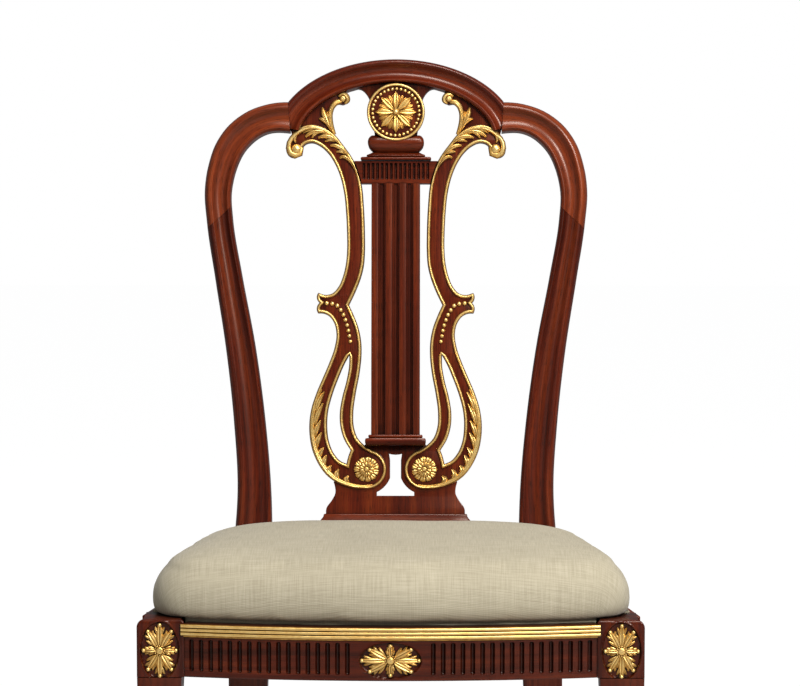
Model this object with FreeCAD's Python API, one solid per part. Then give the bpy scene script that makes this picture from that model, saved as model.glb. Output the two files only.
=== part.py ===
import FreeCAD, Part
import math
import os

# Lyre back dining chair, in millimetres and degrees.
# It faces -Y, +X is on the right as seen from in front, and left and right are named that way.
# While it is built, y = 0 is the front faces of the front leg blocks. At the end everything moves
# along Y so that the origin is on the floor, under the middle of the chair.

# Main sizes
frontWidth = 558.0
railTop = 421.0
railHeight = 59.4
backSet = 448.0
backRake = 8.0
backHeight = 613.6
kneeHeight = 135.0
crownDepth = 154.6
fit = 0.1

# Front legs
blockSize = 52.0
blockTop = 425.5
blockEase = 4.0
legStep = 2.7
ankleSize = 30.0
footHeight = 56.0
footSize = 37.0
footSole = 30.0
footShoulder = 5.0
footBand = 6.0
ankleInset = 4.0
ovalHalfWidth = 21.5
ovalHalfHeight = 32.5
ovalCentreZ = 391.0
ovalDepth = 3.0
ovalRim = 1.3
ovalArcs = 8

# Front rail and its gilt moulding
railBow = 22.0
railSetBack = 2.0
frontRailThick = 28.0
mouldingHeight = 14.4
mouldingProud = 5.0
mouldingRoot = 2.4
reedCount = 3
mouldingLap = 3.5
fluteCount = 17
fluteWidth = 4.6
fluteDepth = 3.2
fluteFirst = 47.0
fluteLast = 220.0
fluteLow = 368.4
fluteHigh = 403.6
railOvalHalfWidth = 34.0
railOvalHalfHeight = 20.0
railOvalZ = 384.0
railOvalDepth = 3.0

# Side and rear rails
sideRailInset = 2.0
sideRailThick = 26.0
rearRailThick = 26.0
tenonThick = 9.0
tenonLength = 22.0
tenonMargin = 10.0
frontTenonBack = 11.0
rearTenonBack = 3.0
tenonCover = 8.0
ledgeWidth = 12.0
ledgeHeight = 16.0

# Rear posts
rearInner = 152.5
rearBlockWidth = 52.0
rearBlockDepth = 36.0
rearFootWidth = 36.0
rearFootDepth = 34.0
rearFootOuter = 206.0
rearSweep = 72.0
rearChamfer = 2.0
memberFront = 9.0
memberBack = 24.0
memberStrip = 8.0
memberLip = 4.5
memberHollow = 5.0
memberBead = 1.2
hollowSteps = 4
archWidth = 30.0
archHalfSpan = 150.0
archRise = 98.5
archSweep = 80.0
archSteps = 14
creaseLean = 4.0
scarfAngle = 43.0

# Splat boards and applied pieces
boardThick = 14.0
outlineSag = 0.35
filletWidth = 3.6
filletProud = 1.4
filletInset = 0.3
filletSag = 0.6
columnWidth = 59.6
columnProud = 9.0
columnBack = 9.0
columnBands = 7
grooveDepth = 6.0
columnFoot = 150.7
friezeTall = 27.8
friezeHalf = 54.0
friezeProud = 5.0
friezeBack = 12.0
friezeFlutes = 15
friezePitch = 5.6
friezeSill = 5.6
friezeHead = 3.0
friezeFluteWidth = 2.8
friezeFluteDepth = 2.0
capStep = 4.7
capCrown = 6.0
capHalf = 43.3
capUpperHalf = 35.5
baseStep = 147.0
baseLow = 137.5
baseHalf = 37.2
baseUpperHalf = 33.2
neckSink = 28.1
roundelGap = 1.6
tabletSink = 6.4
tabletFoot = 26.0
roundelRadius = 35.4
roundelThick = 8.0
ringWidth = 3.4
ringProud = 3.0
beadCount = 34
beadRadius = 1.5
beadRingRadius = 29.3
beadSides = 6
roundelSides = 28
petalCount = 8
petalLength = 24.0
petalThick = 3.0
bossRadius = 4.2
rosetteRadius = 15.4
rosettePetals = 10
rosetteProud = 2.4
rosetteBoss = 3.4
ringRadius = 24.6
pearlRadius = 2.4
pearlCount = 10
shoeTop = 53.8
shoeHalf = 87.3
shoeFlare = 98.0
shoeProud = 8.5
shoeBack = 18.0
shoeLip = 7.0
tongueWidth = 18.0
tongueThick = 7.0
tongueLength = 30.0
tongueDepth = 9.0
creaseMiddle = 20.0

# Drop-in seat
frameGap = 2.0
skirtThick = 1.0
frontUpright = 15.0
sideUpright = 11.0
rebateDepth = 12.0
battenWidth = 45.0
battenThick = 15.0
webbingWidth = 50.0
webbingPitch = 88.0
webbingFront = 40.0
webbingFirst = 105.0
webbingCount = 4
webbingHold = 6.0
webbingThick = 1.2
hessianThick = 0.6
cushionTop = 500.0
cushionFront = 1.0
cushionSide = 9.0
cushionBack = 434.0
cushionCorner = 52.0
restGap = 0.5
coverThick = 3.0
dustThick = 0.6

# Glued corner blocks
cornerReach = 46.0
cornerTop = 404.0
cornerLow = 368.0
cornerHold = 8.0

# Gilt pateras, half their width and height
railPateraWide = 33.6
railPateraHigh = 17.6
railPateraProud = 4.0
legPateraWide = 19.2
legPateraHigh = 30.4
legPateraProud = 4.4

halfFront = frontWidth / 2
blockInner = halfFront - blockSize
railBottom = railTop - railHeight
rebateFloor = railTop - rebateDepth
postFront = backSet - memberFront
rearOuter = rearInner + rearBlockWidth
frameTop = rebateFloor + battenThick
webbingTop = frameTop + 2 * webbingThick
padLow = webbingTop + hessianThick
friezeLow = backHeight - crownDepth
friezeHigh = friezeLow + friezeTall
capStepHigh = friezeHigh + capStep
capHigh = capStepHigh + capCrown
roundelHeight = backHeight - archWidth - roundelGap - roundelRadius
neckHigh = roundelHeight - neckSink
tabletHigh = backHeight - archWidth + tabletSink


def flat(u, w, v):
    """A point of the upright back frame: u across, w forward of the board face, v up the back."""
    return FreeCAD.Vector(u, -w, v)


backPlace = FreeCAD.Placement(
    FreeCAD.Vector(0, backSet, railTop), FreeCAD.Rotation(FreeCAD.Vector(1, 0, 0), -backRake)
)


def raked(shape):
    moved = shape.copy()
    moved.Placement = backPlace.multiply(moved.Placement)
    return moved


def mirrored(shape):
    return shape.mirror(FreeCAD.Vector(0, 0, 0), FreeCAD.Vector(1, 0, 0))


def lifted(v):
    """The height of a point drawn at v: between the volutes and the frieze the back stretches."""
    kneeSteps, crownSteps, topSteps = 135.0, 459.0, 613.6
    if v <= kneeSteps:
        return v * kneeHeight / kneeSteps
    if v >= crownSteps:
        return backHeight - (topSteps - v) * crownDepth / (topSteps - crownSteps)
    return kneeHeight + (v - kneeSteps) * (friezeLow - kneeHeight) / (crownSteps - kneeSteps)


def drawn(*points):
    """Points (u, v) of an outline of the back, fitted to its width at the seat and its height."""
    outerSteps = 204.5
    return [(u * rearOuter / outerSteps, lifted(v)) for u, v in points]


def line(a, b):
    return Part.LineSegment(a, b).toShape()


def arc(a, middle, b):
    return Part.Arc(a, middle, b).toShape()


def arcsThrough(points):
    """Arcs end to end, each through three neighbouring points, or a line where they are straight."""
    edges = []
    for a, middle, b in zip(points[::2], points[1::2], points[2::2]):
        sag = middle.distanceToLine(a, b - a)
        edges.append(arc(a, middle, b) if sag > 0.01 else line(a, b))
    return edges


def smooth(points):
    spline = Part.BSplineCurve()
    spline.interpolate([flat(u, 0, v) for u, v in points])
    return spline


def curve(points):
    """A smooth run through points (u, v) of the back frame, in chords within outlineSag of it."""
    places = smooth(points).discretize(Deflection=outlineSag)
    return [line(a, b) for a, b in zip(places, places[1:])]


def chain(points):
    """Straight edges through points (u, v)."""
    corners = [flat(u, 0, v) for u, v in points]
    return [line(a, b) for a, b in zip(corners, corners[1:])]


def flipped(edges):
    """The same edges on the other side of the middle of the chair."""
    return [edge.mirror(FreeCAD.Vector(0, 0, 0), FreeCAD.Vector(1, 0, 0)) for edge in edges]


def boardFrom(edges, low, high):
    """A board of the back frame between two depths, from the closed edges of its outline."""
    face = Part.Face(Part.Wire(Part.__sortEdges__(edges)))
    face.translate(FreeCAD.Vector(0, -low, 0))
    return face.extrude(FreeCAD.Vector(0, low - high, 0))


def polygonBoard(points, low, high):
    face = Part.Face(Part.makePolygon([flat(u, low, v) for u, v in points + points[:1]]))
    return face.extrude(FreeCAD.Vector(0, low - high, 0))


def boxBoard(uLow, uHigh, vLow, vHigh, low, high):
    return Part.makeBox(uHigh - uLow, high - low, vHigh - vLow, flat(uLow, high, vLow))


def plan(points, low, high):
    """An upright prism over a plan outline (x, y)."""
    corners = [FreeCAD.Vector(x, y, low) for x, y in points + points[:1]]
    return Part.Face(Part.makePolygon(corners)).extrude(FreeCAD.Vector(0, 0, high - low))


def box(xLow, xHigh, yLow, yHigh, zLow, zHigh):
    return Part.makeBox(
        xHigh - xLow, yHigh - yLow, zHigh - zLow, FreeCAD.Vector(xLow, yLow, zLow)
    )


def oval(centreX, y, centreZ, halfWidth, halfHeight, depth):
    """An elliptic disc standing in the XZ plane, from y backwards by depth."""
    points = []
    for k in range(2 * ovalArcs + 1):
        angle = math.pi * k / ovalArcs
        across, up = halfWidth * math.sin(angle), halfHeight * math.cos(angle)
        points.append(FreeCAD.Vector(centreX + across, y, centreZ + up))
    return Part.Face(Part.Wire(arcsThrough(points))).extrude(FreeCAD.Vector(0, depth, 0))


def frustum(rings):
    """A solid with flat faces between matching rings of corners."""
    faces = [Part.Face(Part.makePolygon(ring + ring[:1])) for ring in (rings[0], rings[-1])]
    for low, high in zip(rings, rings[1:]):
        for k in range(len(low)):
            corners = [low[k - 1], low[k], high[k], high[k - 1], low[k - 1]]
            faces.append(Part.Face(Part.makePolygon(corners)))
    solid = Part.Solid(Part.Shell(faces))
    return solid if solid.Volume > 0 else solid.reversed()


def ring(centre, radius, count):
    """Corners of a regular polygon about a point, facing the front."""
    corners = []
    for k in range(count):
        angle = 2 * math.pi * (k + 0.5) / count
        a, b = radius * math.cos(angle), radius * math.sin(angle)
        corners.append(centre + FreeCAD.Vector(a, 0, b))
    return corners


def turned(centre, radii, depths, count):
    """A small turned shape, such as a bead or boss, with few sides, rising towards the front."""
    return frustum([
        ring(centre + FreeCAD.Vector(0, -depth, 0), radius, count)
        for radius, depth in zip(radii, depths)
    ])


def bothExtrusions(frontPoints, sidePoints):
    """A moulded block whose moulding returns round its ends.

    frontPoints (u, v) is what shows from in front, and sidePoints (w, v) what shows from the side.
    """
    reach = backHeight
    front = polygonBoard(frontPoints, -reach, reach)
    corners = [flat(-reach, w, v) for w, v in sidePoints + sidePoints[:1]]
    side = Part.Face(Part.makePolygon(corners)).extrude(FreeCAD.Vector(2 * reach, 0, 0))
    return front.common(side)


def beyond(point, normal):
    """A block that fills everything on the far side of a plane of the back frame."""
    size = 2 * backHeight
    slab = Part.makeBox(2 * size, 2 * size, size, FreeCAD.Vector(-size, -size, 0))
    turn = FreeCAD.Rotation(FreeCAD.Vector(0, 0, 1), normal)
    slab.Placement = FreeCAD.Placement(point, turn)
    return slab


def tongue(point, direction, grow=0.0):
    """A loose tongue across a joint, or its mortises when grown by the clearance."""
    size = [length + 2 * grow for length in (tongueWidth, tongueThick, tongueLength)]
    block = Part.makeBox(*size, FreeCAD.Vector(*[-length / 2 for length in size]))
    turn = FreeCAD.Rotation(FreeCAD.Vector(0, 0, 1), direction)
    block.Placement = FreeCAD.Placement(point + FreeCAD.Vector(0, tongueDepth, 0), turn)
    return block


# Moulded members of the back
def mouldedSection(outer, inner):
    """The section of the back frame: rounded outer strip, bead, hollow and inner lip."""
    start = flat(outer[0], 0, outer[1])
    across = flat(inner[0], 0, inner[1]) - start
    width = across.Length
    across.normalize()
    hollowStart = memberStrip + memberBead
    hollowEnd = width - memberLip
    lipTop = memberFront - memberBead
    corners = [
        (0, -memberBack),
        (0, memberFront - 2 * memberStrip),
        (0.28 * memberStrip, memberFront - 0.45 * memberStrip),
        (memberStrip, memberFront),
        (hollowStart, memberFront),
    ]
    for step in range(1, hollowSteps):
        share = step / hollowSteps
        rim = memberFront + share * (lipTop - memberFront)
        s = hollowStart + share * (hollowEnd - hollowStart)
        corners.append((s, rim - memberHollow * math.sin(math.pi * share)))
    corners += [
        (hollowEnd, lipTop),
        (hollowEnd + memberBead, lipTop),
        (width - 0.2 * memberLip, lipTop - 0.35 * memberLip),
        (width, lipTop - memberLip),
        (width, -memberBack),
    ]
    points = [start + across * s + FreeCAD.Vector(0, -w, 0) for s, w in corners]
    return Part.makePolygon(points + points[:1])


# Post and shoulder, outer point then inner point of each section, from the seat to the crease
postStations = [drawn(*pair) for pair in [
    ((202.6, -24), (151.5, -24)),
    ((200.0, 0), (151.3, 0)),
    ((193.8, 84), (153.2, 86)),
    ((198.2, 163), (160.3, 168)),
    ((208.4, 255), (173.0, 261)),
    ((222.0, 342), (189.4, 347)),
    ((232.6, 412), (201.0, 416)),
    ((235.4, 450), (202.7, 450)),
    ((231.0, 482), (196.8, 478)),
    ((220.8, 511), (187.0, 499)),
    ((204.0, 533.5), (174.5, 512.6)),
    ((180.5, 550), (161.5, 520.6)),
    ((156.5, 558), (149.0, 523.6)),
    ((136.0, 560.3), (133.0, 523.0)),
    ((116.0, 559.0), (114.0, 520.0)),
]]


def archSection(angle):
    """A section of the crest arch, an ellipse whose outer edge tops out at backHeight."""
    u = archHalfSpan * math.sin(angle)
    v = backHeight - archRise * (1 - math.cos(angle))
    inwards = FreeCAD.Vector(archRise * math.sin(angle), 0, archHalfSpan * math.cos(angle))
    inwards.normalize()
    return mouldedSection((u, v), (u - inwards.x * archWidth, v - inwards.z * archWidth))


scarfSpot, creaseSpot, voluteSpot = drawn((217.0, 417.0), (132.6, 560.1), (35.4, 108.4))
voluteU, voluteV = voluteSpot
scarfPoint = flat(scarfSpot[0], 0, scarfSpot[1])
scarfNormal = FreeCAD.Vector(
    math.sin(math.radians(scarfAngle)), 0, math.cos(math.radians(scarfAngle))
)
creasePoint = flat(creaseSpot[0], 0, creaseSpot[1])
creaseNormal = FreeCAD.Vector(
    math.cos(math.radians(creaseLean)), 0, -math.sin(math.radians(creaseLean))
)

member = Part.makeLoft([mouldedSection(a, b) for a, b in postStations], True, True)
belowScarf = member.cut(beyond(scarfPoint, scarfNormal)).Solids
postFlat = min(belowScarf, key=lambda solid: solid.CenterOfMass.z)
shoulderFlat = member.cut(postFlat).common(beyond(creasePoint, creaseNormal))

archAngles = [math.radians(archSweep * (2 * k / archSteps - 1)) for k in range(archSteps + 1)]
arch = Part.makeLoft([archSection(a) for a in archAngles], True, True)
arch = arch.cut(beyond(creasePoint, creaseNormal))
arch = arch.cut(mirrored(beyond(creasePoint, creaseNormal)))

# Loose tongues across the scarf joints and the creases
creaseCentre = creasePoint + FreeCAD.Vector(-1, 0, -creaseMiddle)
tonguesFlat = Part.makeCompound(
    [tongue(scarfPoint, scarfNormal), tongue(creaseCentre, creaseNormal)]
)
tongueHoles = Part.makeCompound(
    [tongue(scarfPoint, scarfNormal, fit), tongue(creaseCentre, creaseNormal, fit)]
)

# Lyre arm, the right-hand one, (u, v)
armUpper = drawn(
    (132.2, 514.5), (126.6, 521.9), (118.1, 528.6), (105.8, 532.2), (92.2, 530.0), (77.4, 521.6),
    (65.1, 507.1), (54.0, 491.5), (46.6, 476.0), (41.8, 456.6), (39.5, 431.9), (38.0, 395.0),
    (38.0, 376.6), (39.4, 358.1), (42.6, 344.6), (48.4, 329.0), (57.3, 310.1),
)
armInner = drawn(
    (57.3, 310.1), (51.2, 296.6), (45.6, 281.5), (42.3, 263.5), (42.1, 247.5), (44.3, 226.7),
    (49.1, 200.9), (52.0, 177.6), (51.2, 160.0), (46.6, 146.9), (38.6, 138.2), (28.8, 132.0),
)
armOuter = drawn(
    (35.4, 83.8), (49.5, 84.6), (63.0, 88.0), (74.6, 93.4), (84.8, 101.6), (94.0, 114.0),
    (101.3, 129.7), (105.2, 148.1), (105.7, 165.3), (103.3, 182.4), (97.4, 201.1), (89.7, 219.5),
    (81.7, 238.3), (75.0, 257.3), (72.7, 274.5), (75.7, 288.0), (82.4, 296.8), (89.2, 299.7),
    (95.4, 299.9),
)
armRise = drawn(
    (95.1, 324.9), (86.8, 322.4), (78.2, 324.0), (70.3, 332.3), (65.0, 344.6), (61.1, 361.8),
    (59.8, 379.0), (60.0, 398.7), (61.2, 423.3), (63.8, 448.4), (68.3, 467.6), (74.9, 483.9),
    (83.5, 497.2), (93.4, 506.0), (103.2, 509.8), (111.2, 507.9), (116.1, 502.7),
)
nibNotch, nibLow, nibHigh = drawn((93.6, 312.6), (96.9, 306.5), (96.9, 318.7))
ballLow, ballOut = drawn((125.6, 491.4), (134.8, 503.0))
slitRight = drawn(
    (56.8, 248.7), (57.1, 235.2), (60.2, 217.0), (65.5, 196.4), (68.4, 177.6), (67.6, 160.4),
    (63.1, 145.1), (55.1, 131.6),
)
slitLeft = drawn(
    (60.0, 115.1), (67.4, 118.4), (75.6, 127.5), (81.7, 142.0), (84.0, 160.4), (82.8, 180.0),
    (78.0, 198.9), (70.0, 220.9), (62.9, 237.5), (56.8, 248.7),
)
slitBend = drawn((58.0, 123.6))[0]
spandrelSide = drawn(
    (58.2, 563.2), (64.6, 556.9), (70.8, 557.6), (76.3, 554.0), (79.4, 547.4), (79.4, 536.0),
    (75.4, 519.0),
)


def spot(point, w=0.0):
    return flat(point[0], w, point[1])


def limbEdges():
    """The closed outline of the arm itself, from the scroll round the volute and back."""
    ringStart = armInner[-1]
    ringEnd = armOuter[0]
    turns = [
        arc(spot(ringStart), flat(voluteU - ringRadius, 0, voluteV), spot(ringEnd)),
        arc(spot(armOuter[-1]), spot(nibLow), spot(nibNotch)),
        arc(spot(nibNotch), spot(nibHigh), spot(armRise[0])),
        arc(spot(armRise[-1]), spot(ballLow), spot(ballOut)),
        line(spot(ballOut), spot(armUpper[0])),
    ]
    return curve(armUpper) + curve(armInner) + curve(armOuter) + curve(armRise) + turns


def slitEdges():
    turn = arc(spot(slitRight[-1]), spot(slitBend), spot(slitLeft[0]))
    return curve(slitRight) + [turn] + curve(slitLeft)


limb = boardFrom(limbEdges(), -boardThick, 0)
slit = boardFrom(slitEdges(), -2 * boardThick, boardThick)
spandrelTop = drawn((58.2, 563.2), (66.0, 592.0), (104.0, 580.0), (129.4, 548.0), (127.0, 518.0))
spandrelFoot = drawn((127.0, 518.0), (104.0, 525.0), (75.4, 519.0))
spandrelEdges = curve(spandrelSide) + chain(spandrelTop) + chain(spandrelFoot)
spandrel = boardFrom(spandrelEdges, -boardThick, 0)
spandrel = spandrel.cut(arch).cut(shoulderFlat)
armBoard = limb.fuse(spandrel).cut(slit).cut(arch).cut(shoulderFlat).removeSplitter()


# Base board with the keyhole
baseSide = drawn((85.2, 53.8), (84.6, 60.5), (77.6, 71.0), (73.7, 79.0), (74.1, 87.0), (75.8, 93.0))
keyTop = 127.4
keyHalf = 7.9
keyNeck = 6.7
keyFlare = 98.0
keyFootHalf = 22.9
keyFootTop = 80.5
keyLow = 76.0
keyTaper = 8.0
keyBend = (11.4, 89.6)
baseTenonLow = -14.0
baseTenonHalf = 70.0


def baseBoard():
    footU, footV = baseSide[0]
    half = [baseSide[-1]] + drawn((62.0, 106.0), (50.0, 125.0)) + [(baseHalf, baseLow)]
    edges = curve(baseSide) + chain(half)
    edges += flipped(edges)
    edges.append(line(flat(baseHalf, 0, baseLow), flat(-baseHalf, 0, baseLow)))
    edges.append(line(flat(footU, 0, footV), flat(-footU, 0, footV)))
    board = boardFrom(edges, -boardThick, 0)
    tenon = boxBoard(-baseTenonHalf, baseTenonHalf, baseTenonLow, footV, -boardThick, 0)
    return board.fuse(tenon).removeSplitter()


def keyhole():
    """Narrow neck that flares into a wide foot, cut right through the base board."""
    half = [
        line(flat(keyHalf, 0, keyTop), flat(keyNeck, 0, keyTop - keyTaper)),
        line(flat(keyNeck, 0, keyTop - keyTaper), flat(keyNeck, 0, keyFlare)),
        arc(flat(keyNeck, 0, keyFlare), spot(keyBend), flat(keyFootHalf, 0, keyFootTop)),
        line(flat(keyFootHalf, 0, keyFootTop), flat(keyFootHalf, 0, keyLow)),
    ]
    left = flipped(half)
    top = arc(flat(-keyHalf, 0, keyTop), flat(0, 0, keyTop - 1.2), flat(keyHalf, 0, keyTop))
    foot = line(flat(-keyFootHalf, 0, keyLow), flat(keyFootHalf, 0, keyLow))
    return boardFrom(half + left + [top, foot], -2 * boardThick, boardThick)


base = baseBoard().cut(keyhole()).cut(armBoard).cut(mirrored(armBoard))

# Gilt raised edge of each arm
def stripBetween(near, far):
    return polygonBoard(near + far[::-1], 0, filletProud)


def stripAlong(points, side=1):
    """A band beside a curve, on its left as the points run, or on its right where side is -1."""
    spline = smooth(points)
    near, far = [], []
    for p in spline.discretize(Deflection=filletSag):
        along = spline.tangent(spline.parameter(p))[0]
        for row, width in ((near, filletInset), (far, filletWidth)):
            row.append((p.x - side * width * along.z, p.z + side * width * along.x))
    return stripBetween(near, far)


def arcStrip(a, middle, b):
    """A band inside an arc."""
    whole = arc(spot(a), spot(middle), spot(b))
    centre, radius = whole.Curve.Center, whole.Curve.Radius
    near, far = [], []
    for p in whole.discretize(Deflection=filletSag):
        for row, width in ((near, filletInset), (far, filletWidth)):
            q = centre + (p - centre) * ((radius - width) / radius)
            row.append((q.x, q.z))
    return stripBetween(near, far)


def kinkPatch():
    """Fills the mitre where the two inner curves meet at the sharp inward corner."""
    u, v = armInner[0]
    width = filletWidth
    corners = [(u + filletInset, v), (u + 0.95 * width, v + 0.45 * width),
               (u + 1.25 * width, v - 0.2 * width), (u + 0.75 * width, v - 0.7 * width)]
    return polygonBoard(corners, 0, filletProud)


fillet = stripAlong(armUpper)
for piece in [
    stripAlong(armInner),
    kinkPatch(),
    arcStrip(armInner[-1], (voluteU - ringRadius, voluteV), armOuter[0]),
    stripAlong(armOuter),
    arcStrip(armOuter[-1], nibLow, nibNotch),
    arcStrip(nibNotch, nibHigh, armRise[0]),
    stripAlong(armRise),
    stripAlong(slitRight, -1),
    stripAlong(slitLeft, -1),
]:
    fillet = fillet.fuse(piece)
fillet = fillet.cut(slit).cut(arch).cut(shoulderFlat).removeSplitter()

# Gilt leaves on the arm, (u, v): the crescent on the lower limb and the sprays at the scroll
lowLeafTips = drawn(
    (92.0, 205.5), (91.5, 196.0), (87.0, 199.0), (89.5, 186.0), (95.2, 172.5), (91.0, 169.5),
    (93.6, 158.0), (89.9, 153.0), (92.4, 144.0), (88.4, 136.5), (87.0, 126.5), (81.4, 125.0),
    (79.6, 114.6), (74.0, 112.8), (70.2, 105.4), (62.0, 101.4), (57.0, 98.9), (50.4, 91.2),
    (41.0, 87.8),
)
leafProud = 3.2


def lowerLeaf():
    """The acanthus crescent between the outer edge of the limb and a row of leaf tips."""
    outer = armOuter[:-9]
    return polygonBoard(outer + lowLeafTips, filletProud, leafProud)


def spray(points):
    return polygonBoard(points, filletProud, leafProud)


upperSprays = [drawn(*points) for points in [
    [(117.0, 524.0), (108.5, 526.0), (99.0, 524.5), (104.5, 519.8), (112.6, 517.4), (119.4, 518.0)],
    [(91.0, 525.8), (96.4, 521.0), (101.0, 516.2), (92.6, 513.0), (83.0, 511.5), (76.0, 514.5)],
    [(72.4, 511.4), (80.4, 509.0), (86.6, 506.6), (79.0, 501.0), (69.5, 497.0), (62.6, 498.6)],
    [(60.2, 495.4), (66.4, 494.2), (70.0, 490.6), (64.6, 487.6), (57.6, 486.2), (53.6, 485.6)],
    [(83.5, 524.2), (88.8, 536.4), (93.0, 540.6), (90.8, 544.4), (91.0, 551.4), (86.6, 546.6),
     (83.4, 543.6), (79.0, 545.0), (77.6, 535.0), (77.4, 526.0)],
]]


def sprigScroll():
    """The gilt stem that rises from the arm and curls under the arch, ending in a ball."""
    stem = drawn((75.6, 522.8), (79.4, 536.0), (79.4, 547.4), (76.3, 554.0), (70.8, 557.6))
    ball = drawn((62.6, 556.2), (58.4, 562.6), (63.2, 568.4), (70.6, 566.6))
    back = drawn((77.4, 563.0), (81.8, 556.6), (82.8, 546.6), (82.0, 536.0), (78.4, 524.0))
    return polygonBoard(stem + ball + back, 0, filletProud)


leaves = [lowerLeaf()] + [spray(points) for points in upperSprays] + [sprigScroll()]
leaves = Part.makeCompound(leaves)


def pearl(u, v, radius, low=0.0):
    """A small bead with few sides."""
    return turned(flat(u, low, v), (radius, 0.5 * radius), (0.0, 0.8 * radius), beadSides)


def armPearls():
    """Pearls evenly spaced along the curve from the ear to the tip of the slit."""
    pearlPath = drawn((84.6, 312.0), (73.0, 310.0), (66.4, 302.0), (60.6, 288.5), (55.5, 265.1))
    places = smooth(pearlPath).discretize(pearlCount)
    return Part.makeCompound([pearl(p.x, p.z, pearlRadius) for p in places])


# Rosettes, roundel and pateras
def petalStar(centre, radius, petals, inner, low, high):
    """A flat flower of round-ended petals, from in front, with a turned boss on it."""
    edges = []
    for k in range(petals):
        middle = 2 * math.pi * k / petals
        half = math.pi / petals
        ends = [polar(centre, inner, middle - half), polar(centre, inner, middle + half)]
        top = polar(centre, radius, middle)
        shoulders = [polar(centre, 0.86 * radius, middle - 0.62 * half),
                     polar(centre, 0.86 * radius, middle + 0.62 * half)]
        edges.append(line(spot(ends[0]), spot(shoulders[0])))
        edges.append(line(spot(shoulders[0]), spot(top)))
        edges.append(line(spot(top), spot(shoulders[1])))
        edges.append(line(spot(shoulders[1]), spot(ends[1])))
    return boardFrom(edges, low, high)


def polar(centre, radius, angle):
    return (centre[0] + radius * math.sin(angle), centre[1] + radius * math.cos(angle))


def boss(centre, radius, low):
    """A low turned dome."""
    rise = (0.0, 0.4 * radius, 0.6 * radius)
    return turned(spot(centre, low), (radius, 0.8 * radius, 0.35 * radius), rise, 2 * beadSides)


rosette = petalStar((voluteU, voluteV), rosetteRadius, rosettePetals, 0.66 * rosetteRadius, 0,
                    rosetteProud)
rosette = rosette.fuse(boss((voluteU, voluteV), rosetteBoss, rosetteProud)).removeSplitter()

roundelCentre = (0.0, roundelHeight)
roundelMiddle = spot(roundelCentre)


def roundelPlate(radii, depths):
    return turned(roundelMiddle, radii, depths, roundelSides)


ringTop = roundelThick + ringProud
roundelDisc = roundelPlate((roundelRadius, roundelRadius), (0.0, roundelThick))
roundelRing = roundelPlate((roundelRadius, roundelRadius), (roundelThick, ringTop))
ringInner = roundelRadius - ringWidth
roundelRing = roundelRing.cut(
    roundelPlate((ringInner - 0.8, ringInner + 0.8), (roundelThick, ringTop))
)
flowerTop = roundelThick + petalThick
flower = petalStar(roundelCentre, petalLength, petalCount, 0.42 * petalLength, roundelThick,
                   flowerTop)
flower = flower.fuse(boss(roundelCentre, bossRadius, flowerTop)).removeSplitter()
beads = []
for k in range(beadCount):
    u, v = polar(roundelCentre, beadRingRadius, 2 * math.pi * k / beadCount)
    beads.append(pearl(u, v, beadRadius, roundelThick))
beads = Part.makeCompound(beads)

# Tablet that carries the roundel, tenoned into the arch
tabletSide = drawn((50.5, 576.9), (42.0, 575.2), (36.9, 570.6), (32.6, 563.0), (30.0, 545.0))
tenonHalf = 24.0
tenonSink = 10.0
tenonRise = 4.0
tenonBack = 10.0
tenonFront = 3.0


def tabletTenonBox(clearance=0.0):
    return boxBoard(-tenonHalf - clearance, tenonHalf + clearance, tabletHigh - tenonSink,
                    tabletHigh + tenonRise + clearance, -tenonBack - clearance,
                    -tenonFront + clearance)


def tabletBoard():
    topU = tabletSide[0][0]
    rise = line(spot(tabletSide[0]), flat(topU, 0, tabletHigh))
    fall = line(spot(tabletSide[-1]), flat(tabletFoot, 0, neckHigh))
    half = curve(tabletSide) + [rise, fall]
    left = flipped(half)
    top = line(flat(-topU, 0, tabletHigh), flat(topU, 0, tabletHigh))
    foot = line(flat(-tabletFoot, 0, neckHigh), flat(tabletFoot, 0, neckHigh))
    return boardFrom(half + left + [top, foot], -boardThick, 0)


arch = arch.cut(tabletTenonBox(fit))
tablet = tabletBoard().cut(arch)
tablet = tablet.fuse(tabletTenonBox().cut(tabletBoard())).removeSplitter()

# Column between its base and the frieze, standing proud of the boards
band = columnWidth / columnBands


def columnSection():
    """Ridges and stepped grooves side by side, as one closed outline (u, w)."""
    outline = [(-columnWidth / 2, -columnBack), (-columnWidth / 2, columnProud - 1)]
    for k in range(columnBands):
        left = -columnWidth / 2 + k * band
        right = left + band
        if k % 2 == 0:
            outline += [(left + 0.9, columnProud), (right - 0.9, columnProud)]
        else:
            step = 0.24 * band
            floor = columnProud - grooveDepth
            outline += [(left, columnProud - 1), (left, floor + 2.4), (left + step, floor + 2.4)]
            outline += [(left + step, floor), (right - step, floor)]
            outline += [(right - step, floor + 2.4), (right, floor + 2.4), (right, columnProud - 1)]
    outline += [(columnWidth / 2, columnProud - 1), (columnWidth / 2, -columnBack)]
    return outline


def upright(outline, low, high):
    corners = [flat(u, w, low) for u, w in outline + outline[:1]]
    return Part.Face(Part.makePolygon(corners)).extrude(FreeCAD.Vector(0, 0, high - low))


stubHalf = 18.0
stubThick = 7.0
stubLong = 8.0


def stub(low, high, clearance=0.0):
    half = stubHalf + clearance
    depth = stubThick / 2 + clearance
    return boxBoard(-half, half, low, high, -depth, depth)


column = upright(columnSection(), columnFoot, friezeLow)
column = column.fuse(stub(columnFoot - stubLong, columnFoot))
column = column.fuse(stub(friezeLow, friezeLow + stubLong)).removeSplitter()

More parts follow.
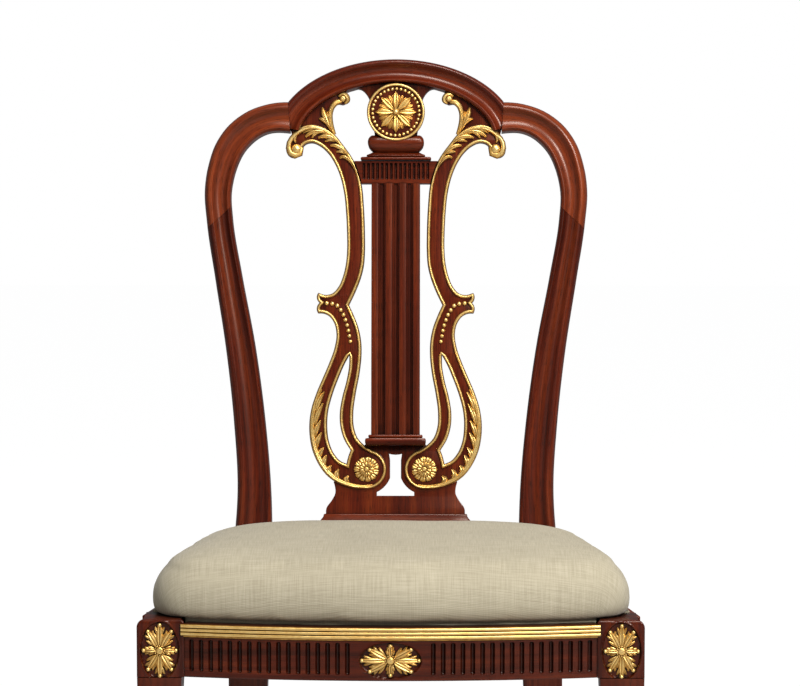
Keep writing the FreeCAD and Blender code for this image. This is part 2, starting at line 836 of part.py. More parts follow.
columnBase = bothExtrusions(
    [(-baseHalf + 2, baseLow), (-baseHalf, baseLow + 2), (-baseHalf, baseStep - 1),
     (-baseHalf + 1, baseStep), (-baseUpperHalf, baseStep), (-baseUpperHalf + 1, columnFoot),
     (baseUpperHalf - 1, columnFoot), (baseUpperHalf, baseStep), (baseHalf - 1, baseStep),
     (baseHalf, baseStep - 1), (baseHalf, baseLow + 2), (baseHalf - 2, baseLow)],
    [(-boardThick, baseLow), (columnProud + 4, baseLow), (columnProud + 6, baseLow + 2),
     (columnProud + 6, baseStep - 1), (columnProud + 5, baseStep), (columnProud + 3, baseStep),
     (columnProud + 2, columnFoot), (-boardThick, columnFoot)],
)
columnBase = columnBase.cut(stub(columnFoot - stubLong - fit, columnFoot, fit))
columnBase = columnBase.cut(armBoard).cut(mirrored(armBoard))

frieze = boxBoard(-friezeHalf, friezeHalf, friezeLow, friezeHigh, -friezeBack, friezeProud)
armShadow = boardFrom(limbEdges(), -2 * boardThick, boardThick)
frieze = frieze.cut(armShadow).cut(mirrored(armShadow))
frieze = max(frieze.Solids, key=lambda solid: solid.Volume)
flutes = []
for k in range(friezeFlutes):
    u = (k - (friezeFlutes - 1) / 2) * friezePitch
    half = friezeFluteWidth / 2
    flutes.append(boxBoard(u - half, u + half, friezeLow + friezeSill, friezeHigh - friezeHead,
                           friezeProud - friezeFluteDepth, friezeProud + 1))
frieze = frieze.cut(Part.makeCompound(flutes))
frieze = frieze.cut(stub(friezeLow, friezeLow + stubLong + fit, fit))

cap = bothExtrusions(
    [(-capHalf, friezeHigh), (-capHalf, capStepHigh - 1.5), (-capHalf + 2, capStepHigh),
     (-capUpperHalf, capStepHigh), (-capUpperHalf, capStepHigh + 2), (-capUpperHalf + 3, capHigh),
     (capUpperHalf - 3, capHigh), (capUpperHalf, capStepHigh + 2), (capUpperHalf, capStepHigh),
     (capHalf - 2, capStepHigh), (capHalf, capStepHigh - 1.5), (capHalf, friezeHigh)],
    [(-friezeBack, friezeHigh), (friezeProud + 4, friezeHigh),
     (friezeProud + 4, capStepHigh - 1.5), (friezeProud + 2, capStepHigh),
     (friezeProud + 1, capStepHigh), (friezeProud + 1, capStepHigh + 2),
     (friezeProud - 2, capHigh), (-friezeBack, capHigh)],
)


def neckProfile(narrow, wide, flip=1):
    """A bulging side, swelling from the cap and closing again under the roundel."""
    return [
        (flip * narrow, capHigh), (flip * (0.55 * narrow + 0.45 * wide), capHigh + 2.5),
        (flip * (0.1 * narrow + 0.9 * wide), capHigh + 7), (flip * wide, capHigh + 12),
        (flip * (0.2 * narrow + 0.8 * wide), capHigh + 17), (flip * 0.5 * (narrow + wide), neckHigh),
    ]


neck = bothExtrusions(
    neckProfile(27.6, 34.4) + neckProfile(27.6, 34.4, -1)[::-1],
    neckProfile(3.0, 10.0) + [(-friezeBack, neckHigh), (-friezeBack, capHigh)],
)
neck = neck.cut(roundelPlate((roundelRadius, roundelRadius), (0.0, 3 * roundelThick)))

# Shoe, which the splat stands in, on top of the rear rail
shoe = bothExtrusions(
    [(-shoeHalf - 8, -30), (-shoeFlare, 0), (-shoeFlare, shoeTop - 20), (-shoeHalf - 5, shoeTop - 8),
     (-shoeHalf - 0.6, shoeTop - 1.5), (-shoeHalf, shoeTop), (shoeHalf, shoeTop),
     (shoeHalf + 0.6, shoeTop - 1.5), (shoeHalf + 5, shoeTop - 8), (shoeFlare, shoeTop - 20),
     (shoeFlare, 0), (shoeHalf + 8, -30)],
    [(-shoeBack, -30), (-shoeBack, shoeTop - shoeLip), (-boardThick - 1.5, shoeTop),
     (1.5, shoeTop), (2.4, shoeTop - 1.5), (4.6, shoeTop - 8), (shoeProud, shoeTop - 20),
     (shoeProud, -30)],
)
shoeSlot = boxBoard(-baseTenonHalf - fit, baseTenonHalf + fit, -30, shoeTop + 1,
                    -boardThick - fit, fit)
shoe = shoe.cut(shoeSlot)
aboveRail = box(-halfFront, halfFront, 0, 2 * backSet, railTop, railTop + 2 * backHeight)

# Everything of the upright back is now leaned back with the posts
shoe = raked(shoe).common(aboveRail)
splatBase = raked(base)

# Rear posts: swept leg, square block at the seat, moulded post above
def legSection(z):
    """A square section of the rear leg, swept back and tapered below the rail."""
    drop = (railBottom - z) / railBottom
    outer = rearOuter + drop * (rearFootOuter - rearOuter)
    width = rearBlockWidth + drop * (rearFootWidth - rearBlockWidth)
    front = postFront + rearSweep * drop ** 1.7
    depth = rearBlockDepth + drop * (rearFootDepth - rearBlockDepth)
    inner, back, c = outer - width, front + depth, rearChamfer
    corners = [
        (inner + c, front), (outer - c, front), (outer, front + c), (outer, back - c),
        (outer - c, back), (inner + c, back), (inner, back - c), (inner, front + c),
    ]
    points = [FreeCAD.Vector(x, y, z) for x, y in corners]
    return Part.makePolygon(points + points[:1])


legLevels = [railBottom * share for share in (1.0, 0.72, 0.42, 0.18, 0.0)]
rearLeg = Part.makeLoft([legSection(z) for z in legLevels], True, False, False, 3)
rearBlock = box(rearInner, rearOuter, postFront, postFront + rearBlockDepth, railBottom, railTop)
upperPost = raked(postFlat).common(aboveRail)
rearPost = rearLeg.fuse(rearBlock).fuse(upperPost)


# Plan of the seat: the bowed front rail is an arc about bowCentre
bowRadius = (blockInner ** 2 + railBow ** 2) / (2 * railBow)
bowCentreY = railSetBack + math.sqrt(bowRadius ** 2 - blockInner ** 2)
sideFront = (halfFront - sideRailInset, blockSize)
sideRear = (rearOuter - sideRailInset, postFront)
sideSlope = (sideFront[0] - sideRear[0]) / (sideRear[1] - sideFront[1])
sideStretch = math.sqrt(1 + sideSlope ** 2)


def sideLine(y, inset):
    """How far from the centre a line parallel to the side rail's outer face lies at y."""
    return sideFront[0] - sideSlope * (y - blockSize) - inset * sideStretch


def bowAt(x, radius):
    """Where an arc about the centre of the bow lies in front at x."""
    return bowCentreY - math.sqrt(radius ** 2 - x ** 2)


def bowPiece(halfWidth, outer, inner, low, high):
    """A bowed bar between two radii of the front bow, cut square at both ends."""
    points = []
    for radius in (outer, inner):
        end = bowAt(halfWidth, radius)
        middle = bowCentreY - radius
        points.append([FreeCAD.Vector(x, y, low)
                       for x, y in ((-halfWidth, end), (0, middle), (halfWidth, end))])
    front, back = points
    edges = [arc(*front), line(front[2], back[2]), arc(*back), line(back[0], front[0])]
    face = Part.Face(Part.Wire(Part.__sortEdges__(edges)))
    return face.extrude(FreeCAD.Vector(0, 0, high - low))


# Mortises and tenons of the seat rails
frontTenonY = (railSetBack + frontTenonBack, railSetBack + frontTenonBack + tenonThick)


def frontTenon(clearance=0.0):
    low = railBottom + tenonMargin - clearance
    high = mouldingLow - 2 + clearance
    return box(blockInner - 1, blockInner + tenonLength + clearance,
               frontTenonY[0] - clearance, frontTenonY[1] + clearance, low, high)


def sideTenons(clearance=0.0):
    """A bar through the side rail that sticks out at both ends by the tenon length."""
    centre = sideRailThick / 2
    half = tenonThick / 2 + clearance
    reach = tenonLength + clearance
    yLow, yHigh = blockSize - reach, postFront + reach
    outline = [
        (sideLine(yLow, centre - half), yLow), (sideLine(yLow, centre + half), yLow),
        (sideLine(yHigh, centre + half), yHigh), (sideLine(yHigh, centre - half), yHigh),
    ]
    return plan(outline, railBottom + tenonMargin - clearance,
                rebateFloor - tenonCover + clearance)


rearRailY = (postFront, postFront + rearRailThick)


def rearTenon(clearance=0.0):
    middle = (rearRailY[0] + rearRailY[1]) / 2 + rearTenonBack
    half = tenonThick / 2 + clearance
    return box(rearInner - 1, rearInner + 0.75 * tenonLength + clearance, middle - half,
               middle + half, railBottom + tenonMargin - clearance,
               railTop - tenonCover + clearance)


mouldingLow = railTop - mouldingHeight

# Outline of the drop-in frame, notched round the front blocks
def frameOutline(grow):
    notchX = blockInner - frameGap + grow
    notchY = blockSize + frameGap - grow
    inset = sideUpright + frameGap - grow
    radius = bowRadius - frontUpright - frameGap + grow
    back = postFront - frameGap + grow
    corners = [
        (notchX, bowAt(notchX, radius)), (notchX, notchY), (sideLine(notchY, inset), notchY),
        (sideLine(back, inset), back),
    ]
    return corners, radius


def framePrism(grow, low, high):
    corners, radius = frameOutline(grow)
    right = [FreeCAD.Vector(x, y, low) for x, y in corners]
    left = [FreeCAD.Vector(-x, y, low) for x, y in corners]
    edges = [arc(left[0], FreeCAD.Vector(0, bowCentreY - radius, low), right[0])]
    edges += [line(a, b) for a, b in zip(right, right[1:])]
    edges += [line(a, b) for a, b in zip(left, left[1:])]
    edges.append(line(right[-1], left[-1]))
    face = Part.Face(Part.Wire(Part.__sortEdges__(edges)))
    return face.extrude(FreeCAD.Vector(0, 0, high - low))


seatWell = framePrism(frameGap, rebateFloor, railTop + 1)

# Front rail with flutes and a sunk oval
frontRail = bowPiece(blockInner, bowRadius, bowRadius - frontRailThick, railBottom, railTop)
frontRail = frontRail.fuse(frontTenon()).fuse(mirrored(frontTenon()))
flutePitch = (fluteLast - fluteFirst) / (fluteCount - 1)


def fluteCutter(x):
    """A stopped slot that faces the middle of the bow."""
    y = bowCentreY - bowRadius - fluteDepth
    slot = box(-fluteWidth / 2, fluteWidth / 2, y, y + 2 * fluteDepth, fluteLow, fluteHigh)
    turn = math.degrees(math.asin(x / bowRadius))
    slot.rotate(FreeCAD.Vector(0, bowCentreY, 0), FreeCAD.Vector(0, 0, 1), turn)
    return slot


fluteCutters = []
for k in range(fluteCount):
    for side in (-1, 1):
        fluteCutters.append(fluteCutter(side * (fluteFirst + k * flutePitch)))
frontRail = frontRail.cut(Part.makeCompound(fluteCutters))
bowFace = bowCentreY - bowRadius
railPocketY = bowFace + railOvalDepth
frontRail = frontRail.cut(
    oval(0, bowFace - 5, railOvalZ, railOvalHalfWidth, railOvalHalfHeight, railOvalDepth + 5)
)
frontRail = frontRail.cut(seatWell)


def reeds():
    """Gilt reeded strip along the top of the front rail, turned about the centre of the bow."""
    pitch = (mouldingHeight - 1.0) / reedCount
    root, face = bowRadius + mouldingRoot, bowRadius + mouldingProud
    section = [(bowRadius, mouldingLow), (bowRadius + 1.6, mouldingLow)]
    for k in range(reedCount):
        low = mouldingLow + 1.0 + k * pitch
        section += [(root, low), (face, low + 0.28 * pitch), (face, low + 0.72 * pitch)]
    section += [(root, railTop), (bowRadius, railTop)]
    turn = math.degrees(math.asin((blockInner + 2 * mouldingLap) / bowRadius))
    corners = [FreeCAD.Vector(0, bowCentreY - r, z) for r, z in section + section[:1]]
    strip = Part.Face(Part.makePolygon(corners))
    axis = FreeCAD.Vector(0, bowCentreY, 0)
    strip.rotate(axis, FreeCAD.Vector(0, 0, 1), -turn)
    strip = strip.revolve(axis, FreeCAD.Vector(0, 0, 1), 2 * turn)
    reach = blockInner + mouldingLap
    return strip.common(box(-reach, reach, -railTop, railTop, 0, 2 * railTop))


# Front legs
def taperedLeg():
    """Square shaft, vertical on its outer faces and tapered inside, with a spade foot."""
    top = blockSize - legStep

    def square(size, z, centreX, centreY):
        h = size / 2
        return [FreeCAD.Vector(centreX + a * h, centreY + b * h, z)
                for a, b in ((-1, -1), (1, -1), (1, 1), (-1, 1))]

    ankleX = halfFront - ankleInset - ankleSize / 2
    ankleY = ankleInset + ankleSize / 2
    shaft = frustum([
        square(top, railBottom, halfFront - top / 2, top / 2),
        square(ankleSize, footHeight, ankleX, ankleY),
    ])
    foot = frustum([
        square(ankleSize, footHeight, ankleX, ankleY),
        square(footSize, footHeight - footShoulder, ankleX, ankleY),
        square(footSize, footHeight - footShoulder - footBand, ankleX, ankleY),
        square(footSole, 0, ankleX, ankleY),
    ])
    return shaft.fuse(foot)


def legBlock():
    """The square block at the seat, its top edges rounded over in a few flat steps."""
    rings = []
    for inset, z in [(0, railBottom)] + [
        (blockEase * (1 - math.cos(math.radians(turn))),
         blockTop - blockEase * (1 - math.sin(math.radians(turn)))) for turn in (0, 35, 70)
    ]:
        low, high = blockInner + inset, halfFront - inset
        near, far = inset, blockSize - inset
        rings.append([FreeCAD.Vector(x, y, z)
                      for x, y in ((low, near), (high, near), (high, far), (low, far))])
    return frustum(rings)


frontLeg = legBlock().fuse(taperedLeg())
blockMiddle = halfFront - blockSize / 2 + 0.8
sunk = oval(blockMiddle, -5, ovalCentreZ, ovalHalfWidth, ovalHalfHeight, ovalDepth + 5)
rimOuter = oval(blockMiddle, -0.8, ovalCentreZ, ovalHalfWidth + ovalRim,
                ovalHalfHeight + ovalRim, ovalDepth)
rim = rimOuter.cut(sunk)
frontLeg = frontLeg.cut(sunk).fuse(rim)
frontLeg = frontLeg.cut(frontTenon(fit)).cut(sideTenons(fit))
frontLeg = frontLeg.removeSplitter()


def patera(centreX, y, centreZ, halfWidth, halfHeight, proud):
    """Eight leaves round a boss, longer one way than the other."""
    centre = FreeCAD.Vector(centreX, y, centreZ)
    whole = turned(centre, (4.8, 4.8, 2.4), (0, proud + 0.6, proud + 2.4), 2 * beadSides)
    for k in range(8):
        angle = math.radians(45 * k)
        along = FreeCAD.Vector(halfWidth * math.sin(angle), 0, halfHeight * math.cos(angle))
        length = along.Length
        along.normalize()
        across = FreeCAD.Vector(along.z, 0, -along.x)
        outline = [(0.1, 1.8), (0.55, 3.9), (0.9, 3.4), (1.0, 0.9)]
        sides = [centre + along * (length * s) + across * h for s, h in outline]
        sides += [centre + along * (length * s) - across * h for s, h in outline[::-1]]
        leafFace = Part.Face(Part.makePolygon(sides + sides[:1]))
        whole = whole.fuse(leafFace.extrude(FreeCAD.Vector(0, -proud, 0)))
    return whole.removeSplitter()


# Side and rear rails
def sideRail():
    outline = [
        (sideLine(blockSize, 0), blockSize), (sideLine(blockSize, sideRailThick), blockSize),
        (sideLine(postFront, sideRailThick), postFront), (sideLine(postFront, 0), postFront),
    ]
    rail = plan(outline, railBottom, railTop).fuse(sideTenons())
    return rail.cut(seatWell).removeSplitter()


rearRail = box(-rearInner, rearInner, rearRailY[0], rearRailY[1], railBottom, railTop)
rearRail = rearRail.fuse(rearTenon()).fuse(mirrored(rearTenon()))
rearRail = rearRail.cut(raked(boxBoard(-baseTenonHalf - fit, baseTenonHalf + fit,
                                       baseTenonLow - fit, 5, -boardThick - fit, fit)))
rearLedge = box(-rearInner + 4, rearInner - 4, postFront - ledgeWidth, postFront,
                rebateFloor - ledgeHeight, rebateFloor)
rearPost = rearPost.cut(sideTenons(fit)).cut(rearTenon(fit)).removeSplitter()

# Glued corner blocks
frontCorner = plan([
    (blockInner - cornerHold,
     bowAt(blockInner - cornerHold, bowRadius - frontRailThick) - cornerHold),
    (blockInner - cornerReach,
     bowAt(blockInner - cornerReach, bowRadius - frontRailThick) - cornerHold),
    (sideLine(blockSize + cornerReach, sideRailThick), blockSize + cornerReach),
    (sideLine(blockSize, sideRailThick) + cornerHold, blockSize - cornerHold),
], cornerLow, cornerTop)
rearCorner = plan([
    (rearInner - cornerReach, postFront), (rearInner + cornerReach / 2, postFront),
    (sideLine(postFront, sideRailThick), postFront),
    (sideLine(postFront - cornerReach, sideRailThick), postFront - cornerReach),
], cornerLow, rebateFloor - ledgeHeight)

# Drop-in seat frame, half-lapped at its corners
frameBody = framePrism(0, rebateFloor, frameTop)
innerFront = bowAt(0, bowRadius - frontUpright) + battenWidth + railBow
innerBack = postFront - frameGap - battenWidth
innerSide = sideUpright + frameGap + battenWidth
opening = [
    (sideLine(innerFront, innerSide), innerFront), (-sideLine(innerFront, innerSide), innerFront),
    (-sideLine(innerBack, innerSide), innerBack), (sideLine(innerBack, innerSide), innerBack),
]
frameBody = frameBody.cut(plan(opening, rebateFloor - 1, frameTop + 1))
lapLevel = rebateFloor + battenThick / 2
farBack = 2 * backSet
frontZone = box(-halfFront, halfFront, -railBow, innerFront, rebateFloor - 1, frameTop + 1)
backZone = box(-halfFront, halfFront, innerBack, farBack, rebateFloor - 1, frameTop + 1)
sideOutline = [
    (sideLine(0, innerSide), 0), (frontWidth, 0), (frontWidth, farBack),
    (sideLine(farBack, innerSide), farBack),
]
sideZone = plan(sideOutline, rebateFloor - 1, frameTop + 1)
lowerHalf = box(-halfFront, halfFront, -railBow, farBack, rebateFloor - 1, lapLevel)
sideLaps = sideZone.common(lowerHalf)
sideLaps = sideLaps.fuse(mirrored(sideLaps))
battenFront = frameBody.common(frontZone).cut(sideLaps)
battenBack = frameBody.common(backZone).cut(sideLaps)
battenRight = frameBody.common(sideZone).cut(battenFront).cut(battenBack)

# Webbing, hessian, pad, cover and dust cover
def webbing():
    strips = []
    backY = postFront - 2 * webbingHold
    for k in range(webbingCount):
        x = (k - (webbingCount - 1) / 2) * webbingPitch
        strips.append(box(x - webbingWidth / 2, x + webbingWidth / 2, webbingFront, backY,
                          frameTop, frameTop + webbingThick))
        y = webbingFirst + k * webbingPitch
        x = sideLine(y + webbingWidth / 2, sideUpright + frameGap + webbingHold)
        strips.append(box(-x, x, y - webbingWidth / 2, y + webbingWidth / 2,
                          frameTop + webbingThick, webbingTop))
    return Part.makeCompound(strips)


hessian = framePrism(-6, webbingTop, padLow)


def cushionOutline(inset, z):
    """The cushion's plan at a height: bowed front, straight sides and back, round corners."""
    corner = cushionCorner
    slope = math.atan(sideSlope)
    frontY = railSetBack + cushionFront + inset
    backY = cushionBack - inset
    bow = railBow * (1 - inset / 260)
    lean = 2 * math.atan(bow / blockInner)
    y1 = frontY
    for _ in range(3):
        y2 = y1 + corner * math.sin(lean)
        xCorner = sideLine(y2, cushionSide + inset)
        x1 = xCorner - corner * math.cos(lean)
    frontStart = FreeCAD.Vector(x1, y1, z)
    sideStart = FreeCAD.Vector(xCorner - corner * math.sin(slope), y2 + corner * math.cos(slope), z)
    pull = corner * 0.29
    frontMid = FreeCAD.Vector(xCorner - pull * math.cos(lean), y2 + pull * 0.75, z)
    rear = corner * 0.62
    xBack = sideLine(backY, cushionSide + inset)
    sideEnd = FreeCAD.Vector(xBack + rear * math.sin(slope), backY - rear * math.cos(slope), z)
    backStart = FreeCAD.Vector(xBack - rear, backY, z)
    rearMid = FreeCAD.Vector(xBack - rear * 0.25, backY - rear * 0.29, z)
    left = [FreeCAD.Vector(-p.x, p.y, z) for p in
            (frontStart, frontMid, sideStart, sideEnd, rearMid, backStart)]
    return Part.Wire([
        arc(left[0], FreeCAD.Vector(0, y1 - bow * x1 / blockInner, z), frontStart),
        arc(frontStart, frontMid, sideStart), line(sideStart, sideEnd),
        arc(sideEnd, rearMid, backStart), line(backStart, left[5]), arc(left[5], left[4], left[3]),
        line(left[3], left[2]), arc(left[2], left[1], left[0]),
    ])


restLevel = railTop + restGap
cushionShape = [
    (0.0, 5.0), (0.12, 0.6), (0.3, 0.0), (0.52, 3.4), (0.7, 12.5), (0.82, 28.0), (0.92, 62.0),
    (1.0, 120.0),
]


crown = cushionTop - restLevel
cushion = Part.makeLoft(
    [cushionOutline(inset, restLevel + share * crown) for share, inset in cushionShape], True, True
)


def padRing(inset, z):
    """Corners of the stuffing, straight-sided with its corners cut off."""
    front = railSetBack + cushionFront + inset
    back = cushionBack - inset
    side = cushionSide + inset
    cut = 0.8 * cushionCorner
    right = [
        (sideLine(front, side) - cut, front), (sideLine(front + cut, side), front + cut),
        (sideLine(back - cut, side), back - cut), (sideLine(back, side) - cut, back),
    ]
    return [FreeCAD.Vector(x, y, z) for x, y in right + [(-x, y) for x, y in right[::-1]]]


padTop = cushionTop - 4 * coverThick
padMiddle = (padLow + padTop) / 2
pad = frustum([
    padRing(2 * coverThick, padLow), padRing(5 * coverThick, padMiddle),
    padRing(25 * coverThick, padTop),
])
blockClear = box(blockInner - restGap, halfFront + 10, -60, blockSize + restGap,
                 railTop - 20, blockTop + restGap)
cover = cushion.fuse(framePrism(skirtThick, rebateFloor + 0.4, padLow))
cover = cover.cut(framePrism(0, rebateFloor - 1, padLow)).cut(pad)
cover = cover.cut(blockClear).cut(mirrored(blockClear))
dustCover = framePrism(-20.0, rebateFloor - dustThick, rebateFloor)

sideRailRight = sideRail()
frontRail = frontRail.removeSplitter()
cornerFront = frontCorner.cut(frontRail).cut(frontLeg).cut(sideRailRight)
cornerFront = max(cornerFront.Solids, key=lambda solid: solid.Volume)
cornerRear = rearCorner.cut(sideRailRight).cut(rearPost)
cornerRear = max(cornerRear.Solids, key=lambda solid: solid.Volume)
moulding = reeds().cut(frontLeg).cut(mirrored(frontLeg))
railPatera = patera(
    0, railPocketY, railOvalZ, railPateraWide, railPateraHigh, railPateraProud
)
legPatera = patera(
    blockMiddle, ovalDepth, ovalCentreZ, legPateraWide, legPateraHigh, legPateraProud
)

rearPost = rearPost.cut(raked(tongueHoles))
shoulder = raked(shoulderFlat.cut(tongueHoles))
archDone = raked(arch.cut(tongueHoles).cut(mirrored(tongueHoles)))
tongues = raked(tonguesFlat)

parts = {
    "splat_base": splatBase,
    "crest_arch": archDone,
    "crest_tablet": raked(tablet),
    "crest_tongues": Part.makeCompound([tongues, mirrored(tongues)]),
    "splat_shoe": shoe,
    "lyre_column": raked(column),
    "column_base": raked(columnBase),
    "column_frieze": raked(frieze),
    "column_cap": raked(cap),
    "column_neck": raked(neck),
    "roundel_disc": raked(roundelDisc),
    "roundel_ring": raked(roundelRing),
    "roundel_beads": raked(beads),
    "roundel_flower": raked(flower),
    "front_rail": frontRail,
    "front_rail_moulding": moulding,
    "rail_patera": railPatera,
    "rear_rail": rearRail,
    "rear_seat_ledge": rearLedge,
    "seat_batten_front": battenFront,
    "seat_batten_back": battenBack,
    "seat_webbing": webbing(),
    "seat_hessian": hessian,
    "seat_pad": pad,
    "seat_cover": cover,
    "seat_dust_cover": dustCover,
}
rightHand = {
    "rear_post": rearPost,
    "crest_shoulder": shoulder,
    "lyre_arm": raked(armBoard),
    "lyre_fillet": raked(fillet),
    "lyre_pearls": raked(armPearls()),
    "lyre_leaf": raked(leaves),
    "volute_rosette": raked(rosette),
    "front_leg": frontLeg,
    "leg_patera": legPatera,
    "side_rail": sideRailRight,
    "corner_block_front": cornerFront,
    "corner_block_rear": cornerRear,
    "seat_batten": battenRight,
}
for name, shape in rightHand.items():
    parts[name + "_right"] = shape
    parts[name + "_left"] = mirrored(shape)

box3 = Part.makeCompound(list(parts.values())).BoundBox
shift = FreeCAD.Vector(0, -(box3.YMin + box3.YMax) / 2, 0)

os.makedirs("parts", exist_ok=True)
for name, shape in parts.items():
    shape = shape.copy()
    shape.translate(shift)
    print(name, shape.isValid(), len(shape.Solids), round(shape.Volume))
    shape.exportStep("parts/" + name + ".step")
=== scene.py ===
import math

import bmesh
import bpy
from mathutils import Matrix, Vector, noise


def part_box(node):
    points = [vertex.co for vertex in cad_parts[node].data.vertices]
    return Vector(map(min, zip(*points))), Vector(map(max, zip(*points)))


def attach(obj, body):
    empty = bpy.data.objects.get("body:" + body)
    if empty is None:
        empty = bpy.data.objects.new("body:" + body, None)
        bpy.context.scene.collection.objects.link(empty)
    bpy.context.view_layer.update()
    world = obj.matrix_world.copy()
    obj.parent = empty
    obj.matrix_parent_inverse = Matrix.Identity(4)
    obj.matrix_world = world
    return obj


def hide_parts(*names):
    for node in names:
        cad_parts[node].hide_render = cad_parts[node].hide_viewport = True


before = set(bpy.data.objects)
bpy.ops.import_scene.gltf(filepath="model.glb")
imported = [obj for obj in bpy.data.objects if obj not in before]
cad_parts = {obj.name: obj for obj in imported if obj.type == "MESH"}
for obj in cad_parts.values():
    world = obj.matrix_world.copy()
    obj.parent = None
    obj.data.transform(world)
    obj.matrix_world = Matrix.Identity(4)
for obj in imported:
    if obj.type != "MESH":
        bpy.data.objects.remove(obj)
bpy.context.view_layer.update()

mm = 0.001
off, on = (0.0, 0.0, 0.0), (1.0, 1.0, 1.0)

# The chair faces -Y. Sizes below are millimetres, on the same two drawings as the solids:
# (u, v, w) on the leaning back, with w forward of the boards, and (x, y, z) on the seat,
# with y = 0 at the front faces of the front legs.
rake = math.radians(8.0)
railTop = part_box("rear_rail")[1].z / mm
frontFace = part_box("front_leg_right")[0].y + 0.8 * mm
backFoot = Vector((0.0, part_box("rear_rail")[0].y + 9 * mm, railTop * mm))
upBack = Vector((0.0, math.sin(rake), math.cos(rake)))
outBack = Vector((0.0, -math.cos(rake), math.sin(rake)))


def onBack(u, v, w):
    return backFoot + Vector((u * mm, 0, 0)) + upBack * (v * mm) + outBack * (w * mm)


def onSeat(x, y, z):
    return Vector((x * mm, frontFace + y * mm, z * mm))


# node helpers
def addNode(tree, kind, feeds=None, **settings):
    node = tree.nodes.new(kind)
    for key, value in settings.items():
        setattr(node, key, value)
    for key, value in (feeds or {}).items():
        if isinstance(value, bpy.types.NodeSocket):
            tree.links.new(value, node.inputs[key])
        else:
            node.inputs[key].default_value = value
    return node


def addRamp(tree, factor, stops):
    ramp = addNode(tree, "ShaderNodeValToRGB", {"Fac": factor})
    cells = ramp.color_ramp.elements
    while len(cells) < len(stops):
        cells.new(0.5)
    for cell, (place, colour) in zip(cells, stops):
        cell.position = place
        cell.color = (*colour, 1.0)
    return ramp.outputs["Color"]


def mixColours(tree, factor, a, b, blend="MIX"):
    mix = addNode(tree, "ShaderNodeMix", data_type="RGBA", blend_type=blend)
    for key, value in (("Factor", factor), ("A", a), ("B", b)):
        places = [s for s in mix.inputs if s.name == key and s.enabled]
        if isinstance(value, bpy.types.NodeSocket):
            tree.links.new(value, places[0])
        else:
            places[0].default_value = (*value, 1.0) if isinstance(value, tuple) else value
    return [s for s in mix.outputs if s.enabled][0]


def sums(tree, kind, a, b=None, clamp=False):
    node = addNode(tree, "ShaderNodeMath", operation=kind, use_clamp=clamp)
    for place, value in enumerate((a, b)):
        if isinstance(value, bpy.types.NodeSocket):
            tree.links.new(value, node.inputs[place])
        elif value is not None:
            node.inputs[place].default_value = value
    return node.outputs[0]


def newFinish(name, **fixed):
    finish = bpy.data.materials.new(name)
    finish.use_nodes = True
    tree = finish.node_tree
    shader = tree.nodes["Principled BSDF"]
    for key, value in fixed.items():
        shader.inputs[key.replace("_", " ")].default_value = value
    return finish, tree, shader


def grainPlace(tree, followsPiece, stretch):
    if followsPiece:
        spot = addNode(tree, "ShaderNodeUVMap", uv_map="grain").outputs["UV"]
    else:
        spot = addNode(tree, "ShaderNodeTexCoord").outputs["Object"]
    return addNode(tree, "ShaderNodeMapping", {"Vector": spot, "Scale": stretch}).outputs["Vector"]


def setBump(tree, shader, height, distance, strength=1.0):
    bump = addNode(tree, "ShaderNodeBump", {"Height": height, "Distance": distance,
                                             "Strength": strength})
    tree.links.new(bump.outputs["Normal"], shader.inputs["Normal"])
    return bump


def noiseField(tree, spot, **feeds):
    return addNode(tree, "ShaderNodeTexNoise", {"Vector": spot, **feeds}).outputs["Fac"]


def objectSpot(tree):
    return addNode(tree, "ShaderNodeTexCoord").outputs["Object"]


def tinted(tree, tone, field, stops):
    return mixColours(tree, 1.0, tone, addRamp(tree, field, stops), "MULTIPLY")


def hollowDirtAndShade(tree, tone, reach, floor):
    # painted shade where a surface is shut in, deeper the more closed in it is; partly also old wax
    # and dirt gathered there
    shut = addNode(tree, "ShaderNodeAmbientOcclusion", {"Distance": reach}, samples=8)
    return tinted(tree, tone, shut.outputs["AO"], [(0.25, (floor, floor, floor)), (0.88, on)])


def setRoughness(tree, shader, field, low, high):
    gloss = addNode(tree, "ShaderNodeMapRange", {"Value": field, "To Min": low, "To Max": high})
    tree.links.new(gloss.outputs["Result"], shader.inputs["Roughness"])


# finishes
woods = {
    "deep": (0.034, 0.0034, 0.0010),
    "body": (0.110, 0.0125, 0.0032),
    "warm": (0.260, 0.0450, 0.0090),
    "worn": (0.320, 0.0900, 0.0300),
    # glow is painted light: a lighter, warmer tone for the lit shoulders
    "glow": (0.22, 0.045, 0.012),
    "pore": (0.006, 0.0015, 0.001),
}


